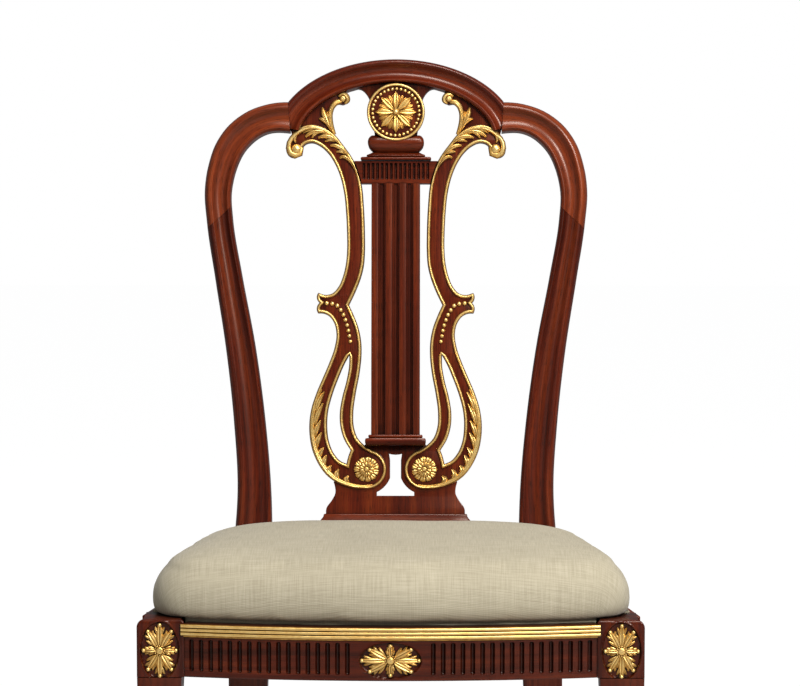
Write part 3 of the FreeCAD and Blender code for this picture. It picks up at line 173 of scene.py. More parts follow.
def mahoganyFinish(name, axis=None, litShare=0.0, depth=1.0):
    # axis is the way the grain runs; without one the grain follows the piece's own map
    finish, tree, shader = newFinish(name, Coat_Weight=0.14, Coat_Roughness=0.16,
                                     Specular_IOR_Level=0.30,
                                     Specular_Tint=(1.0, 0.72, 0.58, 1.0))

    def layer(across, along, **feeds):
        # a noise drawn out along the grain
        scale = [across] * 3
        scale[0 if axis == "X" else 1] = along
        return noiseField(tree, grainPlace(tree, axis is None, scale), Scale=1.0, **feeds)

    streaks = layer(75, 3.0, Detail=4.0, Roughness=0.55, Distortion=0.6)
    fibres = layer(620, 11.0, Detail=3.0)
    pores = layer(1500, 60.0, Detail=1.0)
    cloudy = layer(9, 2.2, Detail=2.0)
    # litShare is painted light: it widens the warm stop and mixes in the glow tone
    base = addRamp(tree, streaks, [(0.24, woods["deep"]), (0.48, woods["body"]),
                                   (0.82 - 0.20 * litShare, woods["warm"])])
    base = tinted(tree, base, fibres, [(0.32, (0.72, 0.70, 0.68)), (0.62, (1.15, 1.13, 1.10))])
    base = tinted(tree, base, cloudy, [(0.3, (0.78, 0.74, 0.70)), (0.7, (1.30, 1.26, 1.22))])
    if litShare:
        base = mixColours(tree, 0.5 * litShare, base, woods["glow"])
    poreMask = addRamp(tree, pores, [(0.34, on), (0.42, off)])
    base = mixColours(tree, sums(tree, "MULTIPLY", poreMask, 0.6), base, woods["pore"])
    # old polish is rubbed paler on sharp edges
    edge = addNode(tree, "ShaderNodeNewGeometry").outputs["Pointiness"]
    edgeMask = addRamp(tree, edge, [(0.55, off), (0.68, on)])
    rubbed = sums(tree, "MULTIPLY", edgeMask, sums(tree, "MULTIPLY", fibres, 0.45))
    base = mixColours(tree, rubbed, base, woods["worn"])
    # a depth below 1 darkens the whole copy: painted shade for the pieces that stand in shadow
    if depth < 1:
        base = mixColours(tree, 1.0, base, (depth, 0.96 * depth, 0.92 * depth), "MULTIPLY")
    # painted shade in hollows and along joints, partly also wax and dirt
    base = hollowDirtAndShade(tree, base, 0.022, 0.08)
    tree.links.new(base, shader.inputs["Base Color"])
    setRoughness(tree, shader, cloudy, 0.24, 0.38)
    setBump(tree, shader, sums(tree, "ADD", fibres, sums(tree, "MULTIPLY", pores, 0.6)),
            0.00008, 0.25)
    return finish


# hollow and shade are painted shade low in the carving, partly bole and dirt; paintedHighlight is
# painted light on what stands proud
golds = {
    "hollow": (0.16, 0.052, 0.012),
    "shade": (0.45, 0.20, 0.038),
    "leaf": (0.82, 0.46, 0.105),
    "paintedHighlight": (1.00, 0.72, 0.28),
}


def gildingFinish():
    # antiqued gold leaf: darker and redder in the hollows, painted shade that partly stands for
    # bole and dirt, and a painted highlight on what stands proud
    finish, tree, shader = newFinish("gildingAntique", Metallic=0.82, Specular_IOR_Level=0.5)
    spot = objectSpot(tree)
    relief = addNode(tree, "ShaderNodeAttribute", attribute_name="relief").outputs["Fac"]
    cloudy = noiseField(tree, spot, Scale=130.0, Detail=5.0, Roughness=0.62)
    specks = noiseField(tree, spot, Scale=900.0, Detail=2.0)
    patches = sums(tree, "MULTIPLY", sums(tree, "SUBTRACT", cloudy, 0.5), 0.75)
    # relief picks the colour: painted shade low down, painted highlight on the crests
    tone = addRamp(tree, sums(tree, "ADD", relief, patches),
                   [(0.02, golds["hollow"]), (0.22, golds["shade"]), (0.52, golds["leaf"]),
                    (0.98, golds["paintedHighlight"])])
    rubbed = addRamp(tree, specks, [(0.28, on), (0.36, off)])
    tone = mixColours(tree, sums(tree, "MULTIPLY", rubbed, 0.45), tone, golds["hollow"])
    # painted shade in the gaps of the carving, partly also dirt
    tone = hollowDirtAndShade(tree, tone, 0.004, 0.12)
    tree.links.new(tone, shader.inputs["Base Color"])
    setRoughness(tree, shader, cloudy, 0.28, 0.46)
    setBump(tree, shader, cloudy, 0.0004, 0.5)
    return finish


def wovenBands(tree, spot, feeds):
    # two sets of threads crossing
    bands = [addNode(tree, "ShaderNodeTexWave", {"Vector": spot, "Detail": 1.0, **feeds},
                     bands_direction=way).outputs["Fac"] for way in ("X", "Y")]
    return sums(tree, "MULTIPLY", *bands)


def linenFinish():
    # plain woven linen with slubs, its threads laid out on the piece's own cloth map
    finish, tree, shader = newFinish("seatLinen", Roughness=0.86, Sheen_Weight=0.18,
                                     Sheen_Roughness=0.45, Specular_IOR_Level=0.25)
    cloth = addNode(tree, "ShaderNodeUVMap", uv_map="cloth").outputs["UV"]
    weave = wovenBands(tree, cloth, {"Scale": 270.0, "Distortion": 0.9, "Detail Scale": 0.4})
    slubs = []
    for stretch in ((30.0, 900.0, 1.0), (900.0, 30.0, 1.0)):
        place = addNode(tree, "ShaderNodeMapping", {"Vector": cloth, "Scale": stretch})
        slubs.append(noiseField(tree, place.outputs["Vector"], Scale=1.0, Detail=2.0))
    thread = sums(tree, "MULTIPLY", sums(tree, "ADD", *slubs), 0.5)
    cloudy = noiseField(tree, cloth, Scale=7.0, Detail=3.0)
    tone = addRamp(tree, thread, [(0.38, (0.395, 0.345, 0.245)), (0.50, (0.455, 0.402, 0.290)),
                                  (0.62, (0.51, 0.452, 0.335))])
    tone = tinted(tree, tone, weave, [(0.0, (0.86, 0.855, 0.84)), (0.5, (1.04, 1.04, 1.035))])
    tone = tinted(tree, tone, cloudy, [(0.3, (0.94, 0.935, 0.92)), (0.7, (1.05, 1.05, 1.04))])
    tree.links.new(tone, shader.inputs["Base Color"])
    setBump(tree, shader, sums(tree, "ADD", weave, thread), 0.0003, 0.5)
    return finish


def threadsFinish(name, dark, light, scale):
    # coarse open weave for what lies under the cover
    finish, tree, shader = newFinish(name, Roughness=0.9, Specular_IOR_Level=0.2)
    spot = objectSpot(tree)
    weave = wovenBands(tree, spot, {"Scale": scale, "Distortion": 1.5})
    grit = noiseField(tree, spot, Scale=60.0, Detail=4.0)
    mixed = sums(tree, "ADD", sums(tree, "MULTIPLY", weave, 0.6),
                 sums(tree, "MULTIPLY", grit, 0.5))
    tone = addRamp(tree, mixed, [(0.15, dark), (0.75, light)])
    tree.links.new(tone, shader.inputs["Base Color"])
    setBump(tree, shader, weave, 0.0005, 0.7)
    return finish


def beechFinish():
    finish, tree, shader = newFinish("beechPlain", Roughness=0.62, Specular_IOR_Level=0.35)
    streaks = noiseField(tree, grainPlace(tree, False, (14, 90, 90)), Scale=1.0, Detail=4.0,
                         Distortion=0.4)
    flecks = noiseField(tree, grainPlace(tree, False, (90, 700, 700)), Scale=1.0)
    tone = addRamp(tree, streaks, [(0.3, (0.42, 0.25, 0.12)), (0.7, (0.60, 0.40, 0.22))])
    mask = addRamp(tree, flecks, [(0.32, on), (0.40, off)])
    tone = mixColours(tree, sums(tree, "MULTIPLY", mask, 0.4), tone, (0.24, 0.12, 0.05))
    tree.links.new(tone, shader.inputs["Base Color"])
    setBump(tree, shader, flecks, 0.0001, 0.4)
    return finish


def metalFinish(name, tone):
    finish, tree, shader = newFinish(name, Metallic=1.0)
    grime = noiseField(tree, objectSpot(tree), Scale=400.0, Detail=3.0)
    dull = tuple(0.4 * c for c in tone)
    tree.links.new(addRamp(tree, grime, [(0.35, dull), (0.6, tone)]), shader.inputs["Base Color"])
    setRoughness(tree, shader, grime, 0.3, 0.6)
    setBump(tree, shader, grime, 0.0001, 0.3)
    return finish


wood = mahoganyFinish("mahoganyFollowing")
# the crest shoulders, with painted light
woodShoulderLit = mahoganyFinish("mahoganyShoulderLit", litShare=0.6)
# darker copies with painted shade, for the parts that lie in shadow
woodPostShaded = mahoganyFinish("mahoganyPostShaded", depth=0.72)
woodFrontShaded = mahoganyFinish("mahoganyFrontShaded", depth=0.55)
woodLyreShaded = mahoganyFinish("mahoganyLyreShaded", depth=0.78)
woodLong = mahoganyFinish("mahoganyLengthwise", "X")
woodDeep = mahoganyFinish("mahoganySideways", "Y")
gilding = gildingFinish()
linen = linenFinish()
hessian = threadsFinish("hessianJute", (0.17, 0.10, 0.045), (0.46, 0.32, 0.17), 330)
webbing = threadsFinish("webbingJute", (0.20, 0.14, 0.08), (0.50, 0.40, 0.26), 420)
dustCloth = threadsFinish("dustClothBlack", (0.006, 0.006, 0.007), (0.03, 0.03, 0.032), 520)
stuffing = threadsFinish("stuffingWadding", (0.42, 0.38, 0.30), (0.72, 0.68, 0.58), 90)
beech = beechFinish()
steel = metalFinish("tackSteel", (0.42, 0.41, 0.40))
print("finishes made")


# mesh helpers
def newShape():
    return {"points": [], "faces": [], "grain": [], "relief": []}


def addRings(shape, rings, caps=True, grain=None, relief=None):
    # rings are equal rows of points; they are joined into a skin and capped at both ends
    start = len(shape["points"])
    size = len(rings[0])
    for k, ring in enumerate(rings):
        for j, point in enumerate(ring):
            shape["points"].append(point)
            shape["grain"].append(grain[k][j] if grain else (j * 0.01, k * 0.01))
            shape["relief"].append(relief[k][j] if relief else 0.5)
    for k in range(len(rings) - 1):
        for j in range(size):
            a, b = start + k * size + j, start + k * size + (j + 1) % size
            shape["faces"].append((a, b, b + size, a + size))
    if caps:
        shape["faces"].append(tuple(start + j for j in range(size))[::-1])
        last = start + (len(rings) - 1) * size
        shape["faces"].append(tuple(last + j for j in range(size)))
    return shape


def joined(*shapes):
    whole = newShape()
    for shape in shapes:
        start = len(whole["points"])
        for key in ("points", "grain", "relief"):
            whole[key] += shape[key]
        whole["faces"] += [tuple(start + k for k in face) for face in shape["faces"]]
    return whole


def mirrored(shape):
    other = dict(shape)
    other["points"] = [Vector((-p[0], p[1], p[2])) for p in shape["points"]]
    return other


def backShape(shape):
    # from (u, v, w) of the drawing to the leaning back
    other = dict(shape)
    other["points"] = [onBack(*p) for p in shape["points"]]
    return other


# relief, how proud a point stands, sets the gilding's painted shade and painted highlight
def writeRelief(mesh, shape):
    field = mesh.attributes.new("relief", "FLOAT", "POINT")
    for k, value in enumerate(shape["relief"]):
        field.data[k].value = value


def toMesh(name, shape):
    mergeWithin = 0.01 * mm
    mesh = bpy.data.meshes.new(name)
    mesh.from_pydata([tuple(p) for p in shape["points"]], [], shape["faces"])
    layer = mesh.uv_layers.new(name="grain")
    for loop in mesh.loops:
        layer.data[loop.index].uv = shape["grain"][loop.vertex_index]
    writeRelief(mesh, shape)
    work = bmesh.new()
    work.from_mesh(mesh)
    bmesh.ops.remove_doubles(work, verts=work.verts, dist=mergeWithin)
    bmesh.ops.recalc_face_normals(work, faces=work.faces)
    work.to_mesh(mesh)
    work.free()
    return mesh


def helperObject(name, data):
    holder = bpy.data.objects.new(name, data)
    bpy.context.scene.collection.objects.link(holder)
    return holder


def plainMesh(holder):
    # the mesh as an object's modifiers leave it; the object itself is dropped
    mesh = bpy.data.meshes.new_from_object(
        holder.evaluated_get(bpy.context.evaluated_depsgraph_get()))
    bpy.data.objects.remove(holder)
    return mesh


def putPiece(name, mesh, finish, body="chair_frame", slot=None, replaces=(), angle=38.0,
             bevel=0.0):
    # angle and sharpFrom are in degrees, bevel in millimetres
    sharpFrom = 35
    mesh.materials.clear()
    mesh.materials.append(finish)
    mesh.shade_smooth()
    mesh.set_sharp_from_angle(angle=math.radians(angle))
    piece = helperObject(name, mesh)
    if bevel:
        ease = piece.modifiers.new("easedEdges", "BEVEL")
        ease.width = bevel * mm
        ease.segments = 2
        ease.limit_method = "ANGLE"
        ease.angle_limit = math.radians(sharpFrom)
        ease.harden_normals = False
    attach(piece, body)
    if replaces:
        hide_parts(*replaces)
    return piece


def putShape(name, shape, finish, node, slot="mahogany", **rest):
    return putPiece(name, toMesh(name, shape), finish, slot=slot, replaces=(node,), **rest)


def bothSides(name, shape, finish, node, **rest):
    # the same piece on the right and, mirrored, on the left
    for side, which in (("right", shape), ("left", mirrored(shape))):
        putShape(f"{name}_{side}", which, finish, f"{node}_{side}", **rest)


def hermite(points, marks, t):
    # smooth run through points of any number of coordinates, read at mark t
    last = len(points) - 1
    k = 0
    while k < last - 1 and t > marks[k + 1]:
        k += 1

    def slope(j):
        if j == 0:
            return [(b - a) / (marks[1] - marks[0]) for a, b in zip(points[0], points[1])]
        if j == last:
            return [(b - a) / (marks[j] - marks[j - 1])
                    for a, b in zip(points[j - 1], points[j])]
        h0, h1 = marks[j] - marks[j - 1], marks[j + 1] - marks[j]
        return [((b - a) / h0 * h1 + (c - b) / h1 * h0) / (h0 + h1)
                for a, b, c in zip(points[j - 1], points[j], points[j + 1])]

    h = marks[k + 1] - marks[k]
    s = (t - marks[k]) / h
    s2, s3 = s * s, s * s * s
    return [(2 * s3 - 3 * s2 + 1) * a + (s3 - 2 * s2 + s) * h * ma
            + (3 * s2 - 2 * s3) * b + (s3 - s2) * h * mb
            for a, b, ma, mb in zip(points[k], points[k + 1], slope(k), slope(k + 1))]


def lengthMarks(points):
    marks = [0.0]
    for a, b in zip(points, points[1:]):
        marks.append(marks[-1] + max(1e-6, math.dist(a[:2], b[:2])))
    return marks


def smoothRun(points):
    step = 2.0
    marks = lengthMarks(points)
    count = max(2, round(marks[-1] / step))
    return [tuple(hermite(points, marks, marks[-1] * k / count)) for k in range(count + 1)]


def arcRun(a, middle, b, step=1.5):
    # circle arc through three points of a drawing
    ax, ay, bx, by, cx, cy = *a, *middle, *b
    d = 2 * (ax * (by - cy) + bx * (cy - ay) + cx * (ay - by))
    aa, bb, cc = ax**2 + ay**2, bx**2 + by**2, cx**2 + cy**2
    ux = (aa * (by - cy) + bb * (cy - ay) + cc * (ay - by)) / d
    uy = (aa * (cx - bx) + bb * (ax - cx) + cc * (bx - ax)) / d
    radius = math.dist((ux, uy), a)
    angles = [math.atan2(p[1] - uy, p[0] - ux) for p in (a, middle, b)]
    turn = (angles[2] - angles[0]) % (2 * math.pi)
    if (angles[1] - angles[0]) % (2 * math.pi) > turn:
        turn -= 2 * math.pi
    count = max(4, round(abs(turn) * radius / step))
    return [(ux + radius * math.cos(angles[0] + turn * k / count),
             uy + radius * math.sin(angles[0] + turn * k / count)) for k in range(count + 1)]


def withoutRepeats(loop):
    clean = []
    for p in loop:
        if not clean or math.dist(clean[-1], p) > 0.05:
            clean.append(p)
    if math.dist(clean[0], clean[-1]) < 0.05:
        clean.pop()
    return clean


def bothHalves(half):
    # a closed outline from its right half
    return withoutRepeats(half + [(-u, v) for u, v in half[::-1]])


def windArea(loop):
    return 0.5 * sum(a[0] * b[1] - b[0] * a[1] for a, b in zip(loop, loop[1:] + loop[:1]))


def boardShape(loops, low, high, ease=0.8):
    # a fretted board between two depths, cut to its outline and holes, with eased edges
    curve = bpy.data.curves.new("fret", "CURVE")
    curve.dimensions = "2D"
    curve.fill_mode = "BOTH"
    curve.extrude = (high - low) / 2 - ease
    curve.bevel_depth = ease
    curve.bevel_resolution = 1
    curve.offset = -ease
    for loop in loops:
        spline = curve.splines.new("POLY")
        spline.points.add(len(loop) - 1)
        for point, (u, v) in zip(spline.points, loop):
            point.co = (u, v, 0, 1)
        spline.use_cyclic_u = True
    flat = plainMesh(helperObject("fret", curve))
    middle = (low + high) / 2
    points = [Vector((p.co.x, p.co.y, p.co.z + middle)) for p in flat.vertices]
    shape = {"points": points, "faces": [tuple(face.vertices) for face in flat.polygons],
             "grain": [(p[0] * mm, p[1] * mm) for p in points], "relief": [0.5] * len(points)}
    bpy.data.curves.remove(curve)
    bpy.data.meshes.remove(flat)
    return shape


def edgeBand(loop, inset, width, rise, inside=True):
    # rounded gilt strip that follows an edge, mitred at its corners
    steps, sunk = 7, -0.6
    loop = withoutRepeats(loop)
    side = 1.0 if (windArea(loop) > 0) == inside else -1.0
    size = len(loop)
    rings, relief = [], []
    for k in range(size):
        p, q, r = loop[k - 1], loop[k], loop[(k + 1) % size]
        normals = []
        for a, b in ((p, q), (q, r)):
            length = math.dist(a, b)
            normals.append(((a[1] - b[1]) / length * side, (b[0] - a[0]) / length * side))
        (nx, ny), (mx, my) = normals
        share = 1 / max(0.45, 1 + nx * mx + ny * my)
        dx, dy = (nx + mx) * share, (ny + my) * share
        ring, high = [], []
        for j in range(steps + 1):
            a = j / steps
            swell = math.sin(math.pi * a) ** 0.6 if 0 < a < 1 else 0.0
            reach = inset + width * a
            ring.append(Vector((q[0] + dx * reach, q[1] + dy * reach, rise * swell)))
            high.append(0.2 + 0.62 * swell)
        ring += [Vector((q[0] + dx * reach, q[1] + dy * reach, sunk))
                 for reach in (inset + width, inset)]
        rings.append(ring)
        relief.append(high + [0.1, 0.1])
    shape = newShape()
    addRings(shape, rings + rings[:1], caps=False, relief=relief + relief[:1])
    return shape


def blade(spine, halves, rise, base=0.0, vein=0.30, steps=16, across=8, veinWide=0.2):
    # carved leaf or stem: a smooth spine with half-widths, a rounded back and a groove down it
    rootShare, tipShare, sunk = 0.35, 0.45, 0.6
    marks = lengthMarks(spine)
    rings, relief = [], []
    full = [(*p[:2], h) for p, h in zip(spine, halves)]
    rows = [hermite(full, marks, marks[-1] * k / steps) for k in range(steps + 1)]
    for k, (u, v, half) in enumerate(rows):
        a, b = rows[max(0, k - 1)], rows[min(steps, k + 1)]
        length = math.dist(a[:2], b[:2]) or 1.0
        nx, ny = (a[1] - b[1]) / length, (b[0] - a[0]) / length
        t = k / steps
        swell = rootShare * (1 - t) + tipShare * t
        swell += (1 - swell) * math.sin(math.pi * t) ** 0.7
        half = max(0.12, half)
        ring, high = [], []
        for j in range(across + 1):
            s = 2 * j / across - 1
            body = (1 - abs(s) ** 2.4)
            groove = vein * math.exp(-(s / veinWide) ** 2)
            level = swell * body * (1 - groove)
            ring.append(Vector((u + nx * half * s, v + ny * half * s, base + rise * level)))
            high.append(0.14 + 0.8 * level)
        ring += [Vector((u + nx * half * side, v + ny * half * side, base - sunk))
                 for side in (1, -1)]
        rings.append(ring)
        relief.append(high + [0.05, 0.05])
    return addRings(newShape(), rings, relief=relief)


def dome(u, v, radius, rise, base=0.0, around=20, levels=5, dimple=0.0):
    # low round boss; a dimple sinks its middle
    rings, relief = [], []
    for k in range(levels + 1):
        turn = 0.5 * math.pi * k / levels
        r = max(0.02, math.cos(turn)) * radius
        w = base + rise * math.sin(turn)
        if dimple:
            w -= dimple * math.exp(-(r / (0.3 * radius)) ** 2)
        rings.append([Vector((u + r * math.cos(2 * math.pi * j / around),
                              v + r * math.sin(2 * math.pi * j / around), w))
                      for j in range(around)])
        relief.append([0.25 + 0.6 * math.sin(turn)] * around)
    low = [Vector((p.x, p.y, base - 0.5)) for p in rings[0]]
    return addRings(newShape(), [low] + rings, relief=[[0.1] * around] + relief)


def lathed(profile):
    # profile is (radius, w) from the middle at the front to the middle at the back
    around = 72
    rings = [[Vector((r * math.cos(2 * math.pi * j / around),
                      r * math.sin(2 * math.pi * j / around), w))
              for j in range(around)] for r, w in profile]
    high = max(w for _, w in profile)
    low = min(w for _, w in profile)
    relief = [[0.25 + 0.6 * (w - low) / max(0.1, high - low)] * around for _, w in profile]
    grain = [[(p.x * mm, p.y * mm) for p in ring] for ring in rings]
    return addRings(newShape(), rings, relief=relief, grain=grain)


# geometry nodes for what repeats
def newTree(name, sockets):
    tree = bpy.data.node_groups.new(name, "GeometryNodeTree")
    for label, kind in sockets:
        tree.interface.new_socket(label, in_out="INPUT", socket_type=kind)
    tree.interface.new_socket("Geometry", in_out="OUTPUT", socket_type="NodeSocketGeometry")
    return tree


def finishTree(tree, instances, given):
    real = addNode(tree, "GeometryNodeRealizeInstances", {"Geometry": instances})
    dressed = addNode(tree, "GeometryNodeSetMaterial", {"Geometry": real.outputs["Geometry"],
                                                        "Material": given["Finish"]})
    out = addNode(tree, "NodeGroupOutput")
    tree.links.new(dressed.outputs["Geometry"], out.inputs["Geometry"])
    return tree


def ringTree():
    # copies of one piece round a circle, each turned to face outwards
    tree = newTree("roundACircle", [
        ("Piece", "NodeSocketObject"), ("Finish", "NodeSocketMaterial"),
        ("Count", "NodeSocketInt"), ("Radius", "NodeSocketFloat"), ("Start", "NodeSocketFloat")])
    given = addNode(tree, "NodeGroupInput").outputs
    circle = addNode(tree, "GeometryNodeMeshCircle", {"Vertices": given["Count"],
                                                      "Radius": given["Radius"]})
    one = addNode(tree, "GeometryNodeObjectInfo", {"Object": given["Piece"]})
    step = addNode(tree, "ShaderNodeMath", {0: 2 * math.pi}, operation="DIVIDE")
    tree.links.new(given["Count"], step.inputs[1])
    place = addNode(tree, "GeometryNodeInputIndex")
    turn = addNode(tree, "ShaderNodeMath", {0: place.outputs[0], 1: step.outputs[0]},
                   operation="MULTIPLY")
    facing = addNode(tree, "ShaderNodeCombineXYZ", {"Z": turn.outputs[0]})
    copies = addNode(tree, "GeometryNodeInstanceOnPoints", {
        "Points": circle.outputs["Mesh"], "Instance": one.outputs["Geometry"],
        "Rotation": facing.outputs["Vector"]})
    first = addNode(tree, "ShaderNodeCombineXYZ", {"Z": given["Start"]})
    turned = addNode(tree, "GeometryNodeTransform", {"Geometry": copies.outputs["Instances"],
                                                     "Rotation": first.outputs["Vector"]})
    return finishTree(tree, turned.outputs["Geometry"], given)


def rowTree():
    # copies of one piece evenly along a path, growing or shrinking from its start to its end
    tree = newTree("alongAPath", [
        ("Path", "NodeSocketObject"), ("Piece", "NodeSocketObject"),
        ("Finish", "NodeSocketMaterial"), ("Count", "NodeSocketInt"),
        ("First size", "NodeSocketFloat"), ("Last size", "NodeSocketFloat")])
    given = addNode(tree, "NodeGroupInput").outputs
    path = addNode(tree, "GeometryNodeObjectInfo", {"Object": given["Path"]})
    dots = addNode(tree, "GeometryNodeCurveToPoints", {"Curve": path.outputs["Geometry"],
                                                       "Count": given["Count"]}, mode="COUNT")
    one = addNode(tree, "GeometryNodeObjectInfo", {"Object": given["Piece"]})
    place = addNode(tree, "GeometryNodeInputIndex")
    size = addNode(tree, "ShaderNodeMapRange", {
        "Value": place.outputs[0], "From Min": 0.0, "To Min": given["First size"],
        "To Max": given["Last size"]})
    tree.links.new(given["Count"], size.inputs["From Max"])
    copies = addNode(tree, "GeometryNodeInstanceOnPoints", {
        "Points": dots.outputs["Points"], "Instance": one.outputs["Geometry"],
        "Scale": size.outputs["Result"]})
    return finishTree(tree, copies.outputs["Instances"], given)


def pathObject(points, closed=False):
    curve = bpy.data.curves.new("path", "CURVE")
    curve.dimensions = "3D"
    spline = curve.splines.new("POLY")
    spline.points.add(len(points) - 1)
    for point, place in zip(spline.points, points):
        point.co = (*place, 1)
    spline.use_cyclic_u = closed
    return helperObject("path", curve)


def grown(tree, values):
    # runs a tree on an empty mesh and gives back the plain mesh as a shape
    holder = helperObject("grower", bpy.data.meshes.new("grower"))
    modifier = holder.modifiers.new("grower", "NODES")
    modifier.node_group = tree
    for item in tree.interface.items_tree:
        if item.item_type == "SOCKET" and item.in_out == "INPUT" and item.name in values:
            modifier[item.identifier] = values[item.name]
    holder.update_tag()
    bpy.context.view_layer.update()
    made = plainMesh(holder)
    field = made.attributes.get("relief")
    shape = {"points": [p.co.copy() for p in made.vertices],
             "faces": [tuple(face.vertices) for face in made.polygons],
             "grain": [(p.co.x * mm, p.co.y * mm) for p in made.vertices],
             "relief": ([d.value for d in field.data] if field
                        else [0.5] * len(made.vertices))}
    for key in ("Piece", "Path"):
        if key in values:
            spent = values[key]
            data = spent.data
            bpy.data.objects.remove(spent)
            (bpy.data.meshes if isinstance(data, bpy.types.Mesh) else bpy.data.curves).remove(data)
    bpy.data.meshes.remove(made)
    return shape


def shapeObject(shape):
    mesh = bpy.data.meshes.new("one")
    mesh.from_pydata([tuple(p) for p in shape["points"]], [], shape["faces"])
    writeRelief(mesh, shape)
    return helperObject("one", mesh)


aroundCircle = ringTree()
alongPath = rowTree()


def ringOf(shape, count, radius, finish, start=0.0):
    return grown(aroundCircle, {"Piece": shapeObject(shape), "Finish": finish, "Count": count,
                                "Radius": radius, "Start": start})


def rowOf(shape, path, count, finish, first=1.0, last=1.0, closed=False):
    return grown(alongPath, {"Piece": shapeObject(shape), "Path": pathObject(path, closed),
                             "Finish": finish, "Count": count, "First size": first,
                             "Last size": last})


def movedShape(shape, u, v):
    other = dict(shape)
    other["points"] = [p + Vector((u, v, 0.0)) for p in shape["points"]]
    return other


# moulded frame of the back
member = {
    "front": 9.0, "back": 24.0, "strip": 8.0, "stripDeep": 16.0, "lip": 4.5, "hollow": 5.2,
    "bead": 1.2, "round": 2.2, "archWidth": 30.0, "archSpan": 150.0, "archRise": 98.5,
    "archHalfTurn": 80.0, "archSteps": 96, "sideSteps": 120, "top": 613.1,
    "scarf": (217.0, 417.0), "scarfAngle": 43.0, "crease": (132.6, 560.1), "creaseLean": 4.0,
    "jointGap": 0.12,
}


def mouldedProfile(width, kind=None):
    # (s, w): rounded outer strip, fine bead, deep hollow, rolled inner lip
    m = {**member, **(kind or {})}
    front, back, strip, r = m["front"], -m["back"], m["strip"], m["round"]
    lowSide, innerSide, stripSteps, hollowSteps = -14, -10, 9, 16
    points = [(0, back + r), (0, lowSide), (0, front - m["stripDeep"])]
    for k in range(1, stripSteps):
        turn = 0.5 * math.pi * k / stripSteps
        points.append((strip * (1 - math.cos(turn)),
                       front - m["stripDeep"] * (1 - math.sin(turn))))
    points += [(strip, front), (strip + 0.5, front + 0.1), (strip + 1.0, front - 0.05)]
    start, end = strip + m["bead"], width - m["lip"]
    for k in range(1, hollowSteps):
        share = k / hollowSteps
        rim = front - share * m["bead"]
        points.append((start + share * (end - start),
                       rim - m["hollow"] * math.sin(math.pi * share) ** 0.85))
    lipTop = front - m["bead"]
    points += [(end, lipTop), (end + 0.9, lipTop + 0.15), (end + 2.2, lipTop - 0.5),
               (end + 3.5, lipTop - 2.1), (width - 0.2, lipTop - 3.6), (width, lipTop - 5.2),
               (width, innerSide), (width, back + r), (width - 0.3 * r, back + 0.3 * r),
               (width - r, back), (width / 2, back), (r, back), (0.3 * r, back + 0.3 * r)]
    return points


def blockProfile(width):
    # the same number of points round a plain block of the same depth
    front, r = member["front"], 2.0
    points = []
    for s, w in mouldedProfile(width):
        if w > front - member["stripDeep"] - 0.01 and 0 < s < width:
            w = front - max(0.0, r - s, r - (width - s))
        elif s in (0, width) and w > -8:
            w = front - r
        points.append((s, w))
    return points


postStations = [
    ((202.6, -24), (151.5, -24)), ((200.0, 0), (151.3, 0)), ((193.8, 84), (153.2, 86)),
    ((198.2, 163), (160.3, 168)), ((208.4, 255), (173.0, 261)), ((222.0, 342), (189.4, 347)),
    ((232.6, 412), (201.0, 416)), ((235.4, 450), (202.7, 450)), ((231.0, 482), (196.8, 478)),
    ((220.8, 511), (187.0, 499)), ((204.0, 533.5), (174.5, 512.6)), ((180.5, 550), (161.5, 520.6)),
    ((156.5, 558), (149.0, 523.6)), ((136.0, 560.3), (133.0, 523.0)),
    ((116.0, 559.0), (114.0, 520.0)),
]


def memberRing(outer, inner, share=1.0, kind=None):
    width = math.dist(outer, inner)
    du, dv = (inner[0] - outer[0]) / width, (inner[1] - outer[1]) / width
    ring, across = [], 0.0
    moulded, plain = mouldedProfile(width, kind), blockProfile(width)
    marks = []
    before = moulded[0]
    for (s, w), (s2, w2) in zip(moulded, plain):
        across += math.dist(before, (s, w))
        before = (s, w)
        s, w = s2 + share * (s - s2), w2 + share * (w - w2)
        ring.append(onBack(outer[0] + du * s, outer[1] + dv * s, w))
        marks.append(across * mm)
    return ring, marks


def sweptMember(pairs, shares=None, kind=None):
    rings, grain, along = [], [], 0.0
    for k, (outer, inner) in enumerate(pairs):
        ring, marks = memberRing(outer, inner, shares[k] if shares else 1.0, kind)
        if k:
            along += math.dist(pairs[k - 1][0], outer) * 0.5 * mm
            along += math.dist(pairs[k - 1][1], inner) * 0.5 * mm
        rings.append(ring)
        grain.append([(across, along) for across in marks])
    return rings, grain


def cutAt(mesh, spot, angle, side, name, flip=1):
    # cuts square to the back through spot, a little short of the joint, and closes the cut;
    # the plane's normal stands at angle to straight up and flip keeps the other side
    turn = math.radians(angle)
    normal = Vector((side * math.sin(turn), 0, 0)) + upBack * math.cos(turn)
    point = onBack(side * spot[0], spot[1], 0) - normal * flip * member["jointGap"] * mm
    work = bmesh.new()
    work.from_mesh(mesh)
    cut = bmesh.ops.bisect_plane(work, geom=work.verts[:] + work.edges[:] + work.faces[:],
                                 plane_co=point, plane_no=normal * flip, clear_outer=True)
    edges = [g for g in cut["geom_cut"] if isinstance(g, bmesh.types.BMEdge)]
    if edges:
        bmesh.ops.contextual_create(work, geom=edges)
    bmesh.ops.recalc_face_normals(work, faces=work.faces)
    made = bpy.data.meshes.new(name)
    work.to_mesh(made)
    work.free()
    return made


